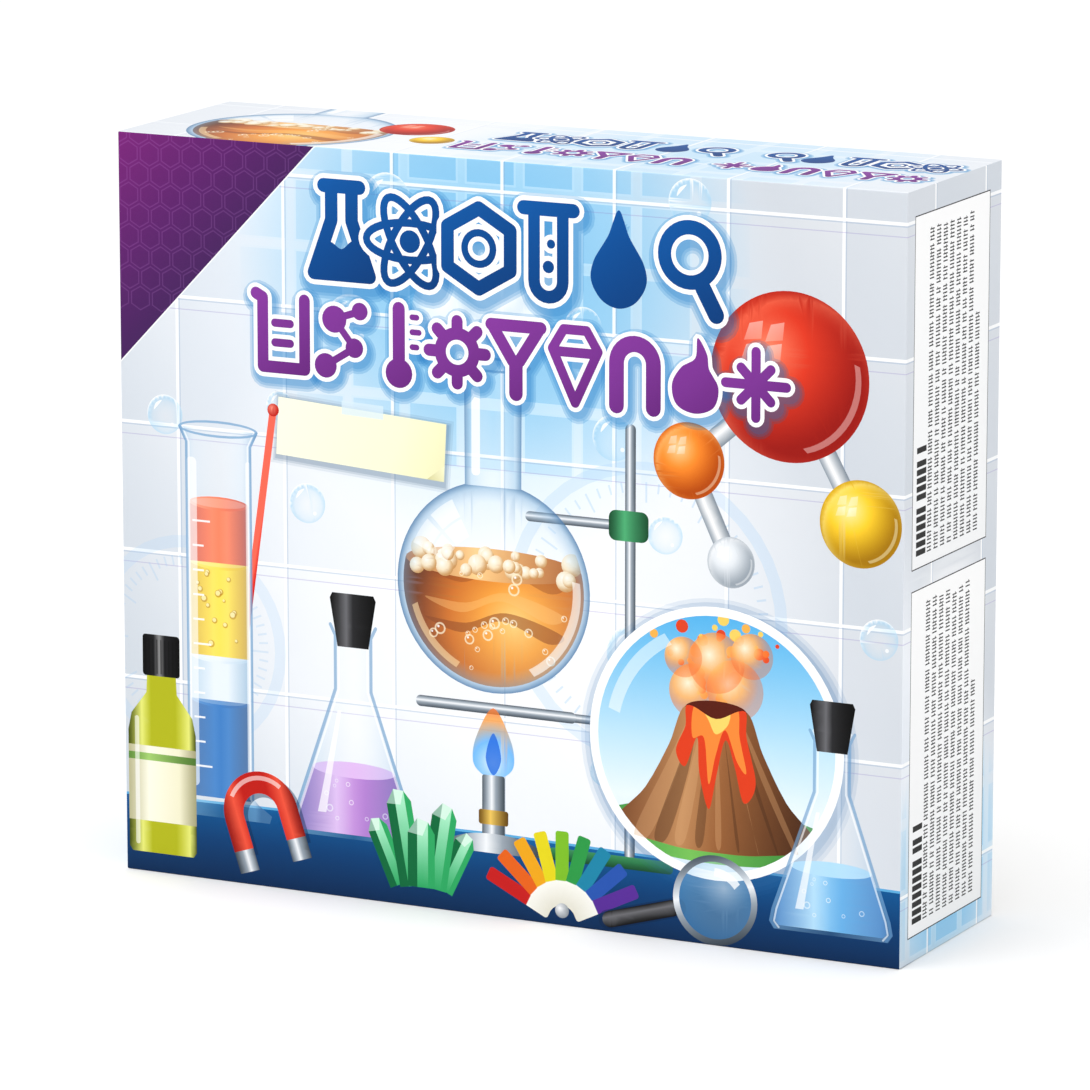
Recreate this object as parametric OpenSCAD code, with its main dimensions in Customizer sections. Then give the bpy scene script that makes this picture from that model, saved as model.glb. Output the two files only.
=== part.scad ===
// Chemistry set case: a telescoping board box that stands on its long edge, with a
// pocketed tray and the loose apparatus of the set.
//
// Every piece is drawn with the case lying on its back: x runs across the front
// panel, y up it, and z from the back panel towards the lid. upright() then stands
// the case up, so that z becomes the row's -Y and y becomes +Z.

/* [Case] */
// Width across the front panel
case_w = 340; // [336:1:420]
// Height of the front panel
case_h = 300; // [296:1:380]
// Depth from the front panel to the back panel
case_d = 90; // [90:1:130]
// Thickness of the laminated board
board_t = 2; // [1.5:0.1:2.4]
// Gap between the lid's walls and the base's walls, each side
wall_gap = 0.75; // [0.5:0.05:1]
// Gap between the base's rim and the lid's panel
rim_gap = 1; // [0.5:0.1:3]
// How far the base's back panel stands out of the lid
back_reveal = 1; // [0:0.1:3]

/* [Tray] */
// Thickness of the formed plastic sheet
tray_t = 1.2; // [0.8:0.1:1.5]
// Gap between the tray's skirt and the base's walls, each side
tray_gap = 0.75; // [0.3:0.05:2]
// Free height between the tray's top and the lid's panel
headroom = 16; // [14:0.5:18]
// Width of the tray's rim outside the pockets
tray_rim = 6; // [4:0.5:7]
// Gap between a thing and its pocket, each side
pocket_gap = 2; // [1.5:0.1:2.2]
// Corner radius of a straight pocket
pocket_r = 7; // [3:0.5:9]
// Least width of flat tray between two pockets
land = 4; // [3:0.5:4.5]
// Radius of a finger notch beside a pocket
finger_r = 8; // [6:0.5:8]
// Thickness of a saddle rib that a round thing lies in
saddle_t = 3; // [2:0.5:5]

/* [Booklet] */
// Length of the booklet
booklet_w = 210; // [120:1:240]
// Height of the booklet, across its spine
booklet_h = 148; // [100:1:160]
// Thickness of the stack of pages
pages_t = 2.6; // [1:0.1:2.8]
// Thickness of the cover sheet
cover_t = 0.3; // [0.2:0.05:0.3]

/* [Test tubes] */
// Outer diameter of a tube
tube_d = 16; // [12:0.5:18]
// Length of a tube
tube_l = 110; // [80:1:112]
// Wall of a tube
tube_wall = 1.2; // [0.8:0.1:1.6]
// Outer diameter of a tube's cap
tube_cap_d = 21; // [20:0.5:21.5]
// Length of a tube's cap
tube_cap_l = 20; // [14:1:22]

/* [Flask] */
// Diameter of the flask's foot
flask_d = 62; // [50:1:62]
// Height of the flask to its rim
flask_h = 100; // [84:1:102]
// Outer diameter of the neck
flask_neck_d = 22; // [18:0.5:24]
// Wall of the flask
flask_wall = 1.8; // [1.2:0.1:2.4]
// Diameter of the stopper's head
stopper_d = 25; // [24:0.5:28]
// How far the stopper pulls out
stopper_travel = 16; // [10:1:17]

/* [Beaker] */
// Outer diameter of the beaker's body
beaker_d = 57; // [44:1:58]
// Height of the beaker
beaker_h = 76; // [60:1:80]
// Wall of the beaker
beaker_wall = 1.6; // [1.2:0.1:2.4]
// Radius of the beaker's spout
spout_r = 7; // [5:0.5:8]

/* [Jars] */
// Outer diameter of a jar
jar_d = 40; // [30:0.5:40]
// Height of a jar with its cap on
jar_h = 60; // [46:1:62]
// Wall of a jar
jar_wall = 1.6; // [1.2:0.1:2.4]
// Height of a jar's cap
jar_cap_h = 15; // [12:0.5:20]
// Lift of a screw cap for each turn
thread_pitch = 3; // [2:0.5:4]

/* [Petri dish] */
// Outer diameter of the dish
dish_d = 72; // [50:1:74]
// Height of the dish
dish_h = 13; // [10:0.5:16]
// Wall of the dish and of its cover
dish_wall = 1.4; // [1:0.1:2]
// Height of the cover's skirt
cover_h = 9; // [6:0.5:10]

/* [Syringe] */
// Outer diameter of the barrel
barrel_d = 18; // [14:0.5:22]
// Length of the barrel
barrel_l = 82; // [60:1:84]
// Wall of the barrel
barrel_wall = 1.2; // [0.8:0.1:1.6]
// How far the plunger pulls out
plunger_travel = 58; // [30:1:60]

/* [Rack] */
// Length of the rack
rack_l = 118; // [100:1:120]
// Height of the rack
rack_h = 62; // [50:1:66]
// Depth of the rack, front to back
rack_depth = 42; // [34:1:46]
// Thickness of the rack's plates
rack_t = 3; // [2:0.1:4]
// Number of tubes that the rack holds
rack_holes = 4; // [3:1:4]

/* [Goggles] */
// Width of the goggles' frame
goggles_w = 158; // [130:1:160]
// Height of the goggles' frame
goggles_h = 80; // [60:1:84]
// Depth of the goggles' frame
goggles_depth = 40; // [28:1:44]
// Wall of the goggles' frame
goggles_wall = 3; // [2:0.1:4]
// Width of the elastic strap
strap_w = 20; // [12:1:25]

/* [Hand tools] */
// Length of the slots for the hand tools
tool_l = 106; // [90:1:108]
// Thickness of the tweezers
tweezers_t = 7; // [4:0.5:9]
// Angle that each of the tweezers' arms closes by
tweezers_close = 3; // [2:0.1:3.4]
// Diameter of the pipette's bulb
bulb_d = 12; // [8:0.5:12]
// Diameter of a stirring straw
straw_d = 5; // [4:0.5:6]

/* [Hidden] */
$fn = 72;
eps = 0.01;
fit_gap = 0.05;      // a sliding fit, each side
loose_gap = 0.3;     // a loose fit between pieces that part by hand
rest_gap = 0.5;      // between a moving thing and its pocket's floor
touch_gap = 0.02;    // between a round thing and the saddle or floor it lies on
finger_depth = 10;   // of a finger notch below the tray's top
small_pocket_r = 1.5*pocket_gap;  // corner radius that square corners clear
hand_room = 6;       // more pocket length where fingers lift a thing out
end_room = 4;        // the same for the rack and the beaker
cap_space = 3;       // between the caps of neighbouring tubes
tubes_sunk = 6;      // how far each thing lies below the tray's top
flask_sunk = 2;
goggles_sunk = 8;
jar_sunk = 3;
rack_sunk = 4;
beaker_sunk = 1;
syringe_sunk = 12;
petri_sunk = 4;
tools_sunk = 4;
shallow_depth = 10;  // of the balloon's and the strips' pockets
tube_count = 3;
jar_count = 2;
rib_count = 40;

// ---------- levels through the case ----------
base_floor_z = board_t;
lid_inner_z = case_d - board_t;
tray_top_z = lid_inner_z - headroom;
base_w = case_w - 2*board_t - 2*wall_gap;
base_h = case_h - 2*board_t - 2*wall_gap;
tray_w = base_w - 2*board_t - 2*tray_gap;
tray_h = base_h - 2*board_t - 2*tray_gap;
mid_y = case_h/2;
field_x0 = -tray_w/2 + tray_rim;       // the tray's face inside its rim
field_x1 = tray_w/2 - tray_rim;
field_y0 = mid_y - tray_h/2 + tray_rim;
field_y1 = mid_y + tray_h/2 - tray_rim;

// ---------- sizes that follow from the driving ones ----------
rim_out = 2.2;                         // how far the flask's rim stands out of its neck
rim_h = 3;
beaker_rim_out = 1.6;
beaker_rim_h = 2;
foot_r = 4;                            // rounding round the foot of the flask and beaker
foot_in = foot_r + 1;                  // centre of the same rounding inside, from the outside
tube_cap_pitch = tube_cap_d + cap_space;
cap_turn = 450;                        // degrees that a screw cap turns
cap_rise = thread_pitch*cap_turn/360;
tube_cap_skirt = 14;                   // how far a cap covers its tube
flask_r = flask_d/2;
flask_neck_r = flask_neck_d/2;
flask_rim_r = flask_neck_r + rim_out;
flask_shoulder_y = flask_h*0.72;
stopper_head_l = 12;
stopper_plug_l = 10;
beaker_r = beaker_d/2;
beaker_rim_r = beaker_r + beaker_rim_out;
spout_l = 2*spout_r;
spout_inset = 3;                       // from the beaker's outside to the spout's middle
jar_r = jar_d/2;
jar_neck_in = 2.6;                     // from the jar's outside to its neck's
jar_neck_r = jar_r - jar_neck_in;
jar_top_t = 3;                         // of the cap's top with its liner
jar_body_h = jar_h - jar_top_t;        // top of the neck, under the cap's liner
jar_shoulder_h = jar_h - jar_cap_h;
jar_cap_r = jar_r + 0.6;
jar_foot_r = 2;
powder_gap = 4;                        // from the powder to the shoulder
liner_t = 1;
dish_r = dish_d/2;
petri_cover_r = dish_r + dish_wall + loose_gap;
paper_stack_t = 2;
barrel_r = barrel_d/2;
barrel_bore_r = barrel_r - barrel_wall;
nozzle_l = 9;
flange_w = 32;
flange_t = 2.5;
seal_l = 7;
thumb_t = 2.5;
rod_over = 10;                         // rod between the flange and the thumb disc, pushed home
barrel_floor = 2;
seal_y = barrel_floor + loose_gap;      // the seal's lower face, pushed home
rod_l = barrel_l - seal_y - seal_l + rod_over;
strap_t = 1.4;
lens_t = 1.6;
clip_t = 3;
tweezers_w = 15;

// ---------- size of each pocket: [across x, along y] ----------
tubes_pocket = [tube_count*tube_cap_pitch - cap_space + 2*pocket_gap,
                tube_l + tube_cap_l - tube_cap_skirt + cap_rise + 2*pocket_gap + hand_room];
flask_pocket = [2*flask_r + 2*pocket_gap, flask_h + stopper_head_l + stopper_travel + 2*pocket_gap];
goggles_pocket = [goggles_w + 2*clip_t + 2*strap_t + 4*pocket_gap, goggles_h + 2*pocket_gap + hand_room];
jar_pocket_r = jar_cap_r + 0.8*pocket_gap;
rack_pocket = [rack_l + 2*pocket_gap, rack_h + 2*pocket_gap + end_room];
beaker_pocket = [2*beaker_rim_r + 2*pocket_gap, beaker_h + 2*pocket_gap + end_room];
syringe_pocket = [flange_w + 2*pocket_gap,
                  nozzle_l + barrel_l + rod_over + thumb_t + plunger_travel + 2*pocket_gap];
petri_pocket_r = petri_cover_r + pocket_gap;
tweezers_pocket = [tool_l + 2*pocket_gap, tweezers_w + 2*pocket_gap];
pipette_pocket = [tool_l + 2*pocket_gap, bulb_d + 2*pocket_gap];
straws_pocket = [tool_l + 2*pocket_gap, 2*straw_d + 4 + 2*pocket_gap];
balloon_size = [66, 26];
strips_size = [32, 24];
balloon_pocket = [balloon_size[0] + pocket_gap, balloon_size[1] + pocket_gap];
strips_pocket = [strips_size[0] + pocket_gap, strips_size[1] + pocket_gap];

// ---------- where the pockets lie ----------
// Three rows share the field: a left column of tubes over the flask, a right column
// of jars over the syringe, and between them goggles, then rack and beaker, then
// petri dish and hand tools. Spare width and height go into the gaps.
left_x = field_x0;
tubes_org = [left_x, field_y1 - tubes_pocket[1]];
flask_org = [left_x, field_y0];
column_w = max(tubes_pocket[0], flask_pocket[0]);
goggles_gap = (field_x1 - field_x0 - column_w - goggles_pocket[0] - 2*jar_pocket_r)/2;
goggles_org = [left_x + column_w + goggles_gap, field_y1 - goggles_pocket[1]];
jar_x = field_x1 - jar_pocket_r;
jar_step = 2*jar_pocket_r + 2*tray_t + 1;
jar_y = [field_y1 - jar_pocket_r, field_y1 - jar_pocket_r - jar_step];
syringe_org = [field_x1 - syringe_pocket[0], field_y0];
rack_gap = (syringe_org[0] - left_x - column_w - rack_pocket[0] - beaker_pocket[0])/3;
slots_h = tweezers_pocket[1] + pipette_pocket[1] + straws_pocket[1] + balloon_pocket[1];
tools_h = max(2*petri_pocket_r, slots_h + 3*land);
row_gap = (field_y1 - field_y0 - goggles_pocket[1] - beaker_pocket[1] - tools_h)/2;
beaker_org = [syringe_org[0] - rack_gap - beaker_pocket[0], goggles_org[1] - row_gap - beaker_pocket[1]];
rack_org = [beaker_org[0] - rack_gap - rack_pocket[0], goggles_org[1] - row_gap - rack_pocket[1]];
tool_gap = (syringe_org[0] - left_x - column_w - 2*petri_pocket_r - tweezers_pocket[0])/3;
petri_c = [left_x + column_w + tool_gap + petri_pocket_r, field_y0 + tools_h/2];
tool_x = syringe_org[0] - tool_gap - tweezers_pocket[0];
slot_gap = (tools_h - slots_h)/3;
balloon_org = [tool_x, field_y0];
strips_org = [tool_x + tweezers_pocket[0] - strips_pocket[0], field_y0];
straws_org = [tool_x, balloon_org[1] + balloon_pocket[1] + slot_gap];
pipette_org = [tool_x, straws_org[1] + straws_pocket[1] + slot_gap];
tweezers_org = [tool_x, pipette_org[1] + pipette_pocket[1] + slot_gap];

// ---------- each pocket's floor: the thing's height, and how far it sinks ----------
tubes_floor = tray_top_z - tube_cap_d - tubes_sunk;
flask_floor = tray_top_z - flask_d - flask_sunk;
goggles_floor = tray_top_z - goggles_depth - strap_t - lens_t - goggles_sunk;
jar_floor = tray_top_z - jar_h - jar_sunk;
rack_floor = tray_top_z - rack_depth - rack_sunk;
beaker_floor = tray_top_z - 2*beaker_rim_r - beaker_sunk;
syringe_floor = tray_top_z - barrel_d - syringe_sunk;
petri_floor = tray_top_z - dish_h - dish_wall - paper_stack_t - petri_sunk;
tool_floor = tray_top_z - bulb_d - tools_sunk;
shallow_floor = tray_top_z - shallow_depth;

// ---------- helpers ----------
module upright() translate([0, case_d/2, 0]) rotate([90, 0, 0]) children();
module along_y() rotate([-90, 0, 0]) children();    // a thing drawn along z then lies along y
module along_x() rotate([0, 90, 0]) children();     // and here along x
function arc(cx, cy, r, a0, a1, n) =
    [for (i = [0:n]) let (a = a0 + (a1 - a0)*i/n) [cx + r*cos(a), cy + r*sin(a)]];

// Rectangle from its lower-left corner, with round corners, made of squares and discs.
module round_rect(org, size, r) translate(org) {
    translate([r, 0]) square([size[0] - 2*r, size[1]]);
    translate([0, r]) square([size[0], size[1] - 2*r]);
    for (x = [r, size[0] - r], y = [r, size[1] - r]) translate([x, y]) circle(r);
}

// A pocket's space (grow 0) or its outer form (grow tray_t), from its floor up.
module straight_pocket(org, size, floor_z, grow, r = pocket_r) translate([0, 0, floor_z - grow])
    linear_extrude(tray_top_z - floor_z + (grow > 0 ? grow : eps))
        round_rect([org[0] - grow, org[1] - grow], [size[0] + 2*grow, size[1] + 2*grow], r + grow);
module round_pocket(centre, r, floor_z, grow) translate([centre[0], centre[1], floor_z - grow])
    cylinder(h = tray_top_z - floor_z + (grow > 0 ? grow : eps), r = r + grow);

// A screw cap's ribbed outside: a drum with rib_count shallow ribs.
module ribbed_drum(r, h) linear_extrude(h)
    polygon([for (i = [0:rib_count - 1], k = [0:3])
        let (a = 360/rib_count*(i + k/4 + 0.125), q = (k < 2) ? r : r - 0.5) [q*cos(a), q*sin(a)]]);

// ---------- case ----------
module lid_shell() color("lightsteelblue") upright() difference() {
    translate([-case_w/2, 0, back_reveal]) cube([case_w, case_h, case_d - back_reveal]);
    translate([-case_w/2 + board_t, board_t, back_reveal - 1])
        cube([case_w - 2*board_t, case_h - 2*board_t, lid_inner_z - back_reveal + 1]);
}

module base_shell() color("whitesmoke") upright() difference() {
    translate([-base_w/2, mid_y - base_h/2, 0]) cube([base_w, base_h, lid_inner_z - rim_gap]);
    translate([-base_w/2 + board_t, mid_y - base_h/2 + board_t, base_floor_z])
        cube([base_w - 2*board_t, base_h - 2*board_t, case_d]);
}

module all_pockets(grow) {
    straight_pocket(tubes_org, tubes_pocket, tubes_floor, grow);
    straight_pocket(flask_org, flask_pocket, flask_floor, grow);
    straight_pocket(goggles_org, goggles_pocket, goggles_floor, grow);
    for (y = jar_y) round_pocket([jar_x, y], jar_pocket_r, jar_floor, grow);
    straight_pocket(rack_org, rack_pocket, rack_floor, grow, small_pocket_r);
    straight_pocket(beaker_org, beaker_pocket, beaker_floor, grow);
    straight_pocket(syringe_org, syringe_pocket, syringe_floor, grow);
    round_pocket(petri_c, petri_pocket_r, petri_floor, grow);
    straight_pocket(tweezers_org, tweezers_pocket, tool_floor, grow);
    straight_pocket(pipette_org, pipette_pocket, tool_floor, grow);
    straight_pocket(straws_org, straws_pocket, tool_floor, grow);
    straight_pocket(balloon_org, balloon_pocket, shallow_floor, grow, small_pocket_r);
    straight_pocket(strips_org, strips_pocket, shallow_floor, grow, small_pocket_r);
    for (c = finger_notches) round_pocket(c, finger_r, tray_top_z - finger_depth, grow);
}
finger_notches = [[tubes_org[0] + tubes_pocket[0], tubes_org[1] + tubes_pocket[1]/2],
                  [petri_c[0], petri_c[1] + petri_pocket_r], [petri_c[0], petri_c[1] - petri_pocket_r]];

// A rib across a pocket, from its floor to just under the axis of what lies in it.
module saddle_rib(cx, width, y, floor_z, axis_z) translate([cx - width/2, y, floor_z - tray_t/2])
    cube([width, saddle_t, axis_z - 1 - floor_z + tray_t/2]);
module saddles() {
    difference() {
        for (f = [0.2, 0.65]) saddle_rib(tubes_org[0] + tubes_pocket[0]/2, tubes_pocket[0] + tray_t,
            tube_y0 + tube_l*f, tubes_floor, tube_z);
        for (i = [0:tube_count - 1]) translate([tube_x(i), tube_y0, tube_z]) along_y()
            cylinder(h = tube_l, r = tube_r + touch_gap);
    }
    difference() {
        saddle_rib(flask_x, flask_neck_d + 16, flask_y0 + (flask_shoulder_y + flask_h)/2 - saddle_t,
            flask_floor, flask_z);
        translate([flask_x, flask_y0, flask_z]) along_y() cylinder(h = flask_h, r = flask_neck_r + touch_gap);
    }
    difference() {
        for (f = [0.2, 0.7]) saddle_rib(syringe_x, barrel_d + 8, syringe_y0 + barrel_l*f,
            syringe_floor, syringe_z);
        translate([syringe_x, syringe_y0, syringe_z]) along_y()
            cylinder(h = barrel_l, r = barrel_r + touch_gap);
    }
}

module tray() color("white") upright() {
    difference() {
        union() {
            difference() {
                translate([-tray_w/2, mid_y - tray_h/2, base_floor_z])
                    cube([tray_w, tray_h, tray_top_z - base_floor_z]);
                translate([-tray_w/2 + tray_t, mid_y - tray_h/2 + tray_t, base_floor_z - 1])
                    cube([tray_w - 2*tray_t, tray_h - 2*tray_t, tray_top_z - base_floor_z + 1 - tray_t]);
            }
            intersection() {
                all_pockets(tray_t);
                translate([-tray_w, 0, 0]) cube([2*tray_w, case_h, tray_top_z]);
            }
        }
        all_pockets(0);
    }
    saddles();
}

// ---------- booklet, under the tray ----------
spine_y = mid_y - booklet_h/2;
module booklet_cover() color("royalblue") upright()
    translate([-booklet_w/2, spine_y, base_floor_z]) difference() {
        cube([booklet_w, booklet_h, pages_t + 2*cover_t]);
        translate([-1, cover_t, cover_t]) cube([booklet_w + 2, booklet_h, pages_t]);
    }
module booklet_pages() color("white") upright()
    translate([-booklet_w/2 + 0.5, spine_y + cover_t, base_floor_z + cover_t])
        cube([booklet_w - 1, booklet_h - 1, pages_t]);
module booklet_staples() color("silver") upright()
    for (x = [-booklet_w/4, booklet_w/4])
        translate([x - 6, spine_y - 0.4, base_floor_z + pages_t/2]) cube([12, 0.4, 0.6]);

// ---------- test tubes, side by side, mouths up ----------
function tube_x(i) = tubes_org[0] + pocket_gap + tube_cap_d/2 + i*tube_cap_pitch;
tube_y0 = tubes_org[1] + pocket_gap;
tube_z = tubes_floor + rest_gap + tube_cap_d/2;
tube_r = tube_d/2;
module at_tube(i) upright() translate([tube_x(i), tube_y0, tube_z]) along_y() children();
module test_tube(i) color([0.85, 0.93, 0.97, 0.6]) at_tube(i) rotate_extrude()
    polygon(concat([[0, 0]], arc(0, tube_r, tube_r, -80, 0, 8),
        [[tube_r, tube_l], [tube_r - tube_wall, tube_l]],
        arc(0, tube_r, tube_r - tube_wall, 0, -80, 8), [[0, tube_wall]]));
module tube_liner(i) color("white") at_tube(i)
    translate([0, 0, tube_l + fit_gap]) cylinder(h = liner_t, r = tube_r - loose_gap);
module tube_cap(i) color("#222222") at_tube(i) translate([0, 0, tube_l - tube_cap_skirt]) difference() {
    ribbed_drum(tube_cap_d/2, tube_cap_l);
    translate([0, 0, -1]) cylinder(h = tube_cap_skirt + liner_t + 2*fit_gap + 1, r = tube_r + loose_gap);
}

// ---------- conical flask and its stopper ----------
flask_x = flask_org[0] + flask_pocket[0]/2;
flask_y0 = flask_org[1] + pocket_gap;
flask_z = flask_floor + touch_gap + flask_r;
flask_bore_r = flask_neck_r - flask_wall;
module at_flask() upright() translate([flask_x, flask_y0, flask_z]) along_y() children();
module flask() color([0.85, 0.93, 0.97, 0.6]) at_flask() rotate_extrude()
    polygon(concat([[0, 0]], arc(flask_r - foot_r, foot_r, foot_r, -90, 0, 5),
        [[flask_neck_r, flask_shoulder_y], [flask_neck_r, flask_h - rim_h - 1],
         [flask_rim_r, flask_h - rim_h], [flask_rim_r, flask_h],
         [flask_bore_r, flask_h], [flask_bore_r, flask_shoulder_y]],
        arc(flask_r - foot_in, foot_in, foot_in - flask_wall, 0, -90, 5), [[0, flask_wall]]));
module flask_stopper() color("#262626") at_flask() translate([0, 0, flask_h]) rotate_extrude()
    polygon([[0, -stopper_plug_l], [flask_bore_r - 1.4, -stopper_plug_l], [flask_bore_r - fit_gap, 0],
             [flask_bore_r + 1, loose_gap], [stopper_d/2, stopper_head_l - 1],
             [stopper_d/2 - 1, stopper_head_l], [0, stopper_head_l]]);

// ---------- beaker ----------
beaker_x = beaker_org[0] + beaker_pocket[0]/2;
beaker_z = beaker_floor + touch_gap + beaker_rim_r;
module at_beaker() upright()
    translate([beaker_x, beaker_org[1] + pocket_gap, beaker_z]) along_y() children();
module beaker() color([0.85, 0.93, 0.97, 0.6]) at_beaker() difference() {
    union() {
        rotate_extrude() polygon(concat([[0, 0]], arc(beaker_r - foot_r, foot_r, foot_r, -90, 0, 5),
            [[beaker_r, beaker_h - 2*beaker_rim_h], [beaker_rim_r, beaker_h - beaker_rim_h],
             [beaker_rim_r, beaker_h], [0, beaker_h]]));
        beaker_spout(spout_r, beaker_h);
    }
    rotate_extrude() polygon(concat([[0, beaker_wall]],
        arc(beaker_r - foot_in, foot_in + beaker_wall, foot_in - beaker_wall, -90, 0, 5),
        [[beaker_r - beaker_wall, beaker_h + 1], [0, beaker_h + 1]]));
    beaker_spout(spout_r - beaker_wall, beaker_h + eps);
}
// A cone under the rim, mostly inside the wall, leans out as the spout.
module beaker_spout(r, top) translate([0, spout_inset - beaker_r, top - spout_l])
    cylinder(h = spout_l, r1 = r/spout_r, r2 = r);

// ---------- jars, standing on the tray, caps towards the lid ----------
module at_jar(k) upright() translate([jar_x, jar_y[k], jar_floor]) children();
module jar(k) color("white") at_jar(k) rotate_extrude()
    polygon(concat([[0, 0]], arc(jar_r - jar_foot_r, jar_foot_r, jar_foot_r, -90, 0, 4),
        [[jar_r, jar_shoulder_h - 1], [jar_neck_r, jar_shoulder_h], [jar_neck_r, jar_body_h],
         [jar_neck_r - jar_wall, jar_body_h], [jar_neck_r - jar_wall, jar_shoulder_h - jar_wall],
         [jar_r - jar_wall, jar_shoulder_h - jar_wall - 2], [jar_r - jar_wall, jar_wall], [0, jar_wall]]));
module jar_powder(k) color(k == 0 ? "ivory" : "mistyrose") at_jar(k) translate([0, 0, jar_wall])
    cylinder(h = jar_shoulder_h - 2*jar_wall - powder_gap, r = jar_r - jar_wall - fit_gap);
module jar_liner(k) color("gainsboro") at_jar(k) translate([0, 0, jar_body_h + fit_gap])
    cylinder(h = liner_t, r = jar_neck_r);
jar_cap_z = jar_shoulder_h + rest_gap;
module jar_cap(k) color(k == 0 ? "white" : "#cc2222") at_jar(k) translate([0, 0, jar_cap_z]) difference() {
    ribbed_drum(jar_cap_r, jar_cap_h);
    translate([0, 0, -1])
        cylinder(h = jar_body_h + liner_t + 2*fit_gap - jar_cap_z + 1, r = jar_neck_r + loose_gap);
}

// ---------- petri dish on a stack of filter papers ----------
module at_petri() upright() translate([petri_c[0], petri_c[1], petri_floor]) children();
module filter_papers() color("white") at_petri() cylinder(h = paper_stack_t, r = dish_r - 1);
module petri_dish() color([0.85, 0.93, 0.97, 0.6]) at_petri() translate([0, 0, paper_stack_t]) difference() {
    cylinder(h = dish_h, r = dish_r);
    translate([0, 0, dish_wall]) cylinder(h = dish_h, r = dish_r - dish_wall);
}
module petri_cover() color([0.85, 0.93, 0.97, 0.6]) at_petri()
    translate([0, 0, paper_stack_t + dish_h - cover_h + fit_gap]) difference() {
        cylinder(h = cover_h + dish_wall, r = petri_cover_r);
        translate([0, 0, -1]) cylinder(h = cover_h + 1, r = petri_cover_r - dish_wall);
    }

// ---------- syringe, nozzle down, plunger pushed home ----------
syringe_x = syringe_org[0] + syringe_pocket[0]/2;
syringe_y0 = syringe_org[1] + pocket_gap + nozzle_l;
syringe_z = syringe_floor + barrel_r + 3;
module at_syringe() upright() translate([syringe_x, syringe_y0, syringe_z]) along_y() children();
module syringe_barrel() color([0.9, 0.95, 1, 0.6]) at_syringe() difference() {
    union() {
        cylinder(h = barrel_l, r = barrel_r);
        translate([0, 0, -nozzle_l]) cylinder(h = nozzle_l + 1, r1 = 1.9, r2 = 2.6);
        translate([0, 0, barrel_l - flange_t]) linear_extrude(flange_t) intersection() {
            square([flange_w, barrel_d + 4], center = true);
            circle(flange_w/2);
        }
    }
    translate([0, 0, barrel_floor]) cylinder(h = barrel_l, r = barrel_bore_r);
    translate([0, 0, -nozzle_l - 1]) cylinder(h = nozzle_l + barrel_floor + 2, r = 1);
}
module syringe_seal() color("#262626") at_syringe() translate([0, 0, seal_y])
    cylinder(h = seal_l, r = barrel_bore_r - fit_gap);
module syringe_plunger() color("white") at_syringe() translate([0, 0, seal_y + seal_l]) {
    for (a = [0, 90]) rotate([0, 0, a]) translate([-barrel_bore_r + 0.8, -0.7, 0])
        cube([2*barrel_bore_r - 1.6, 1.4, rod_l]);
    cylinder(h = 1.5, r = barrel_bore_r - 0.5);
    translate([0, 0, rod_l]) cylinder(h = thumb_t, r = barrel_r + 1.5);
}

// ---------- test tube rack ----------
rack_x0 = rack_org[0] + pocket_gap;
rack_y0 = rack_org[1] + pocket_gap;
shelf_l = rack_l - 2*rack_t;
shelf_depth = rack_depth - 8;
rack_hole_r = tube_d/2 + 0.9;
rack_dimple_r = tube_d/2 - 3;
rack_bottom_y = 8;
rack_top_y = rack_h - 10 - rack_t;
// A shelf with a row of holes, or of shallow dimples, from its upper face down.
module rack_shelf(y, r, depth) color("firebrick") upright()
    translate([rack_x0 + rack_t, rack_y0 + y, rack_floor + (rack_depth - shelf_depth)/2]) difference() {
        cube([shelf_l, rack_t, shelf_depth]);
        for (i = [0:rack_holes - 1]) translate([shelf_l*(i + 0.5)/rack_holes, rack_t + 1, shelf_depth/2])
            rotate([90, 0, 0]) cylinder(h = depth + 1, r = r);
    }
// An end plate stands on a wide foot and narrows towards its top.
module rack_end(x) color("firebrick") upright() translate([x, rack_y0, rack_floor])
    rotate([0, 90, 0]) mirror([1, 0, 0]) linear_extrude(rack_t) difference() {
        polygon([[0, 0], [rack_depth, 0], [rack_depth, 8], [rack_depth - 5, 16],
                 [rack_depth - 5, rack_h], [5, rack_h], [5, 16], [0, 8]]);
        translate([rack_depth/2, 0]) circle(rack_depth/2 - 10);
    }

// ---------- goggles, lens towards the lid ----------
goggles_c = [goggles_org[0] + goggles_pocket[0]/2, goggles_org[1] + goggles_pocket[1]/2];
goggles_z = goggles_floor + strap_t;
nose_h = goggles_h*0.34;
nose_w = goggles_w*0.12;
// The oval's upper edge is flatter than its lower one, which has a hollow for the nose.
function upper_edge(u, inset) = (goggles_h/2 - inset)*pow(1 - pow(abs(u), 3.2), 0.45);
function lower_edge(u, inset) = -(goggles_h/2 - inset)*pow(1 - pow(abs(u), 2.4), 0.5)
    + nose_h*exp(-pow((goggles_w/2 - inset)*u/(nose_w + inset), 2));
function goggles_outline(inset) = concat(
    [for (i = [0:32]) let (u = sin(90 - 180*i/32)) [(goggles_w/2 - inset)*u, upper_edge(u, inset)]],
    [for (i = [1:39]) let (u = sin(-90 + 180*i/40)) [(goggles_w/2 - inset)*u, lower_edge(u, inset)]]);
module goggles_prism(inset, z0, z1) translate([0, 0, z0]) linear_extrude(z1 - z0)
    polygon(goggles_outline(inset));
module at_goggles() upright() translate([goggles_c[0], goggles_c[1], goggles_z]) children();
lug_y = 6;
module goggle_frame() color("lightskyblue") at_goggles() {
    difference() {
        goggles_prism(0, 0, goggles_depth);
        goggles_prism(goggles_wall, -1, goggles_depth - lens_t - 1.4);
        goggles_prism(goggles_wall + 3, -1, goggles_depth + 1);
        goggles_prism(goggles_wall, goggles_depth - lens_t, goggles_depth + 1);
        at_vents() cylinder(h = 4*goggles_wall, r = vent_r + 0.1, center = true);
    }
}
vent_u = 0.5;                          // of the goggles' half width
vent_r = 3.9;
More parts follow.
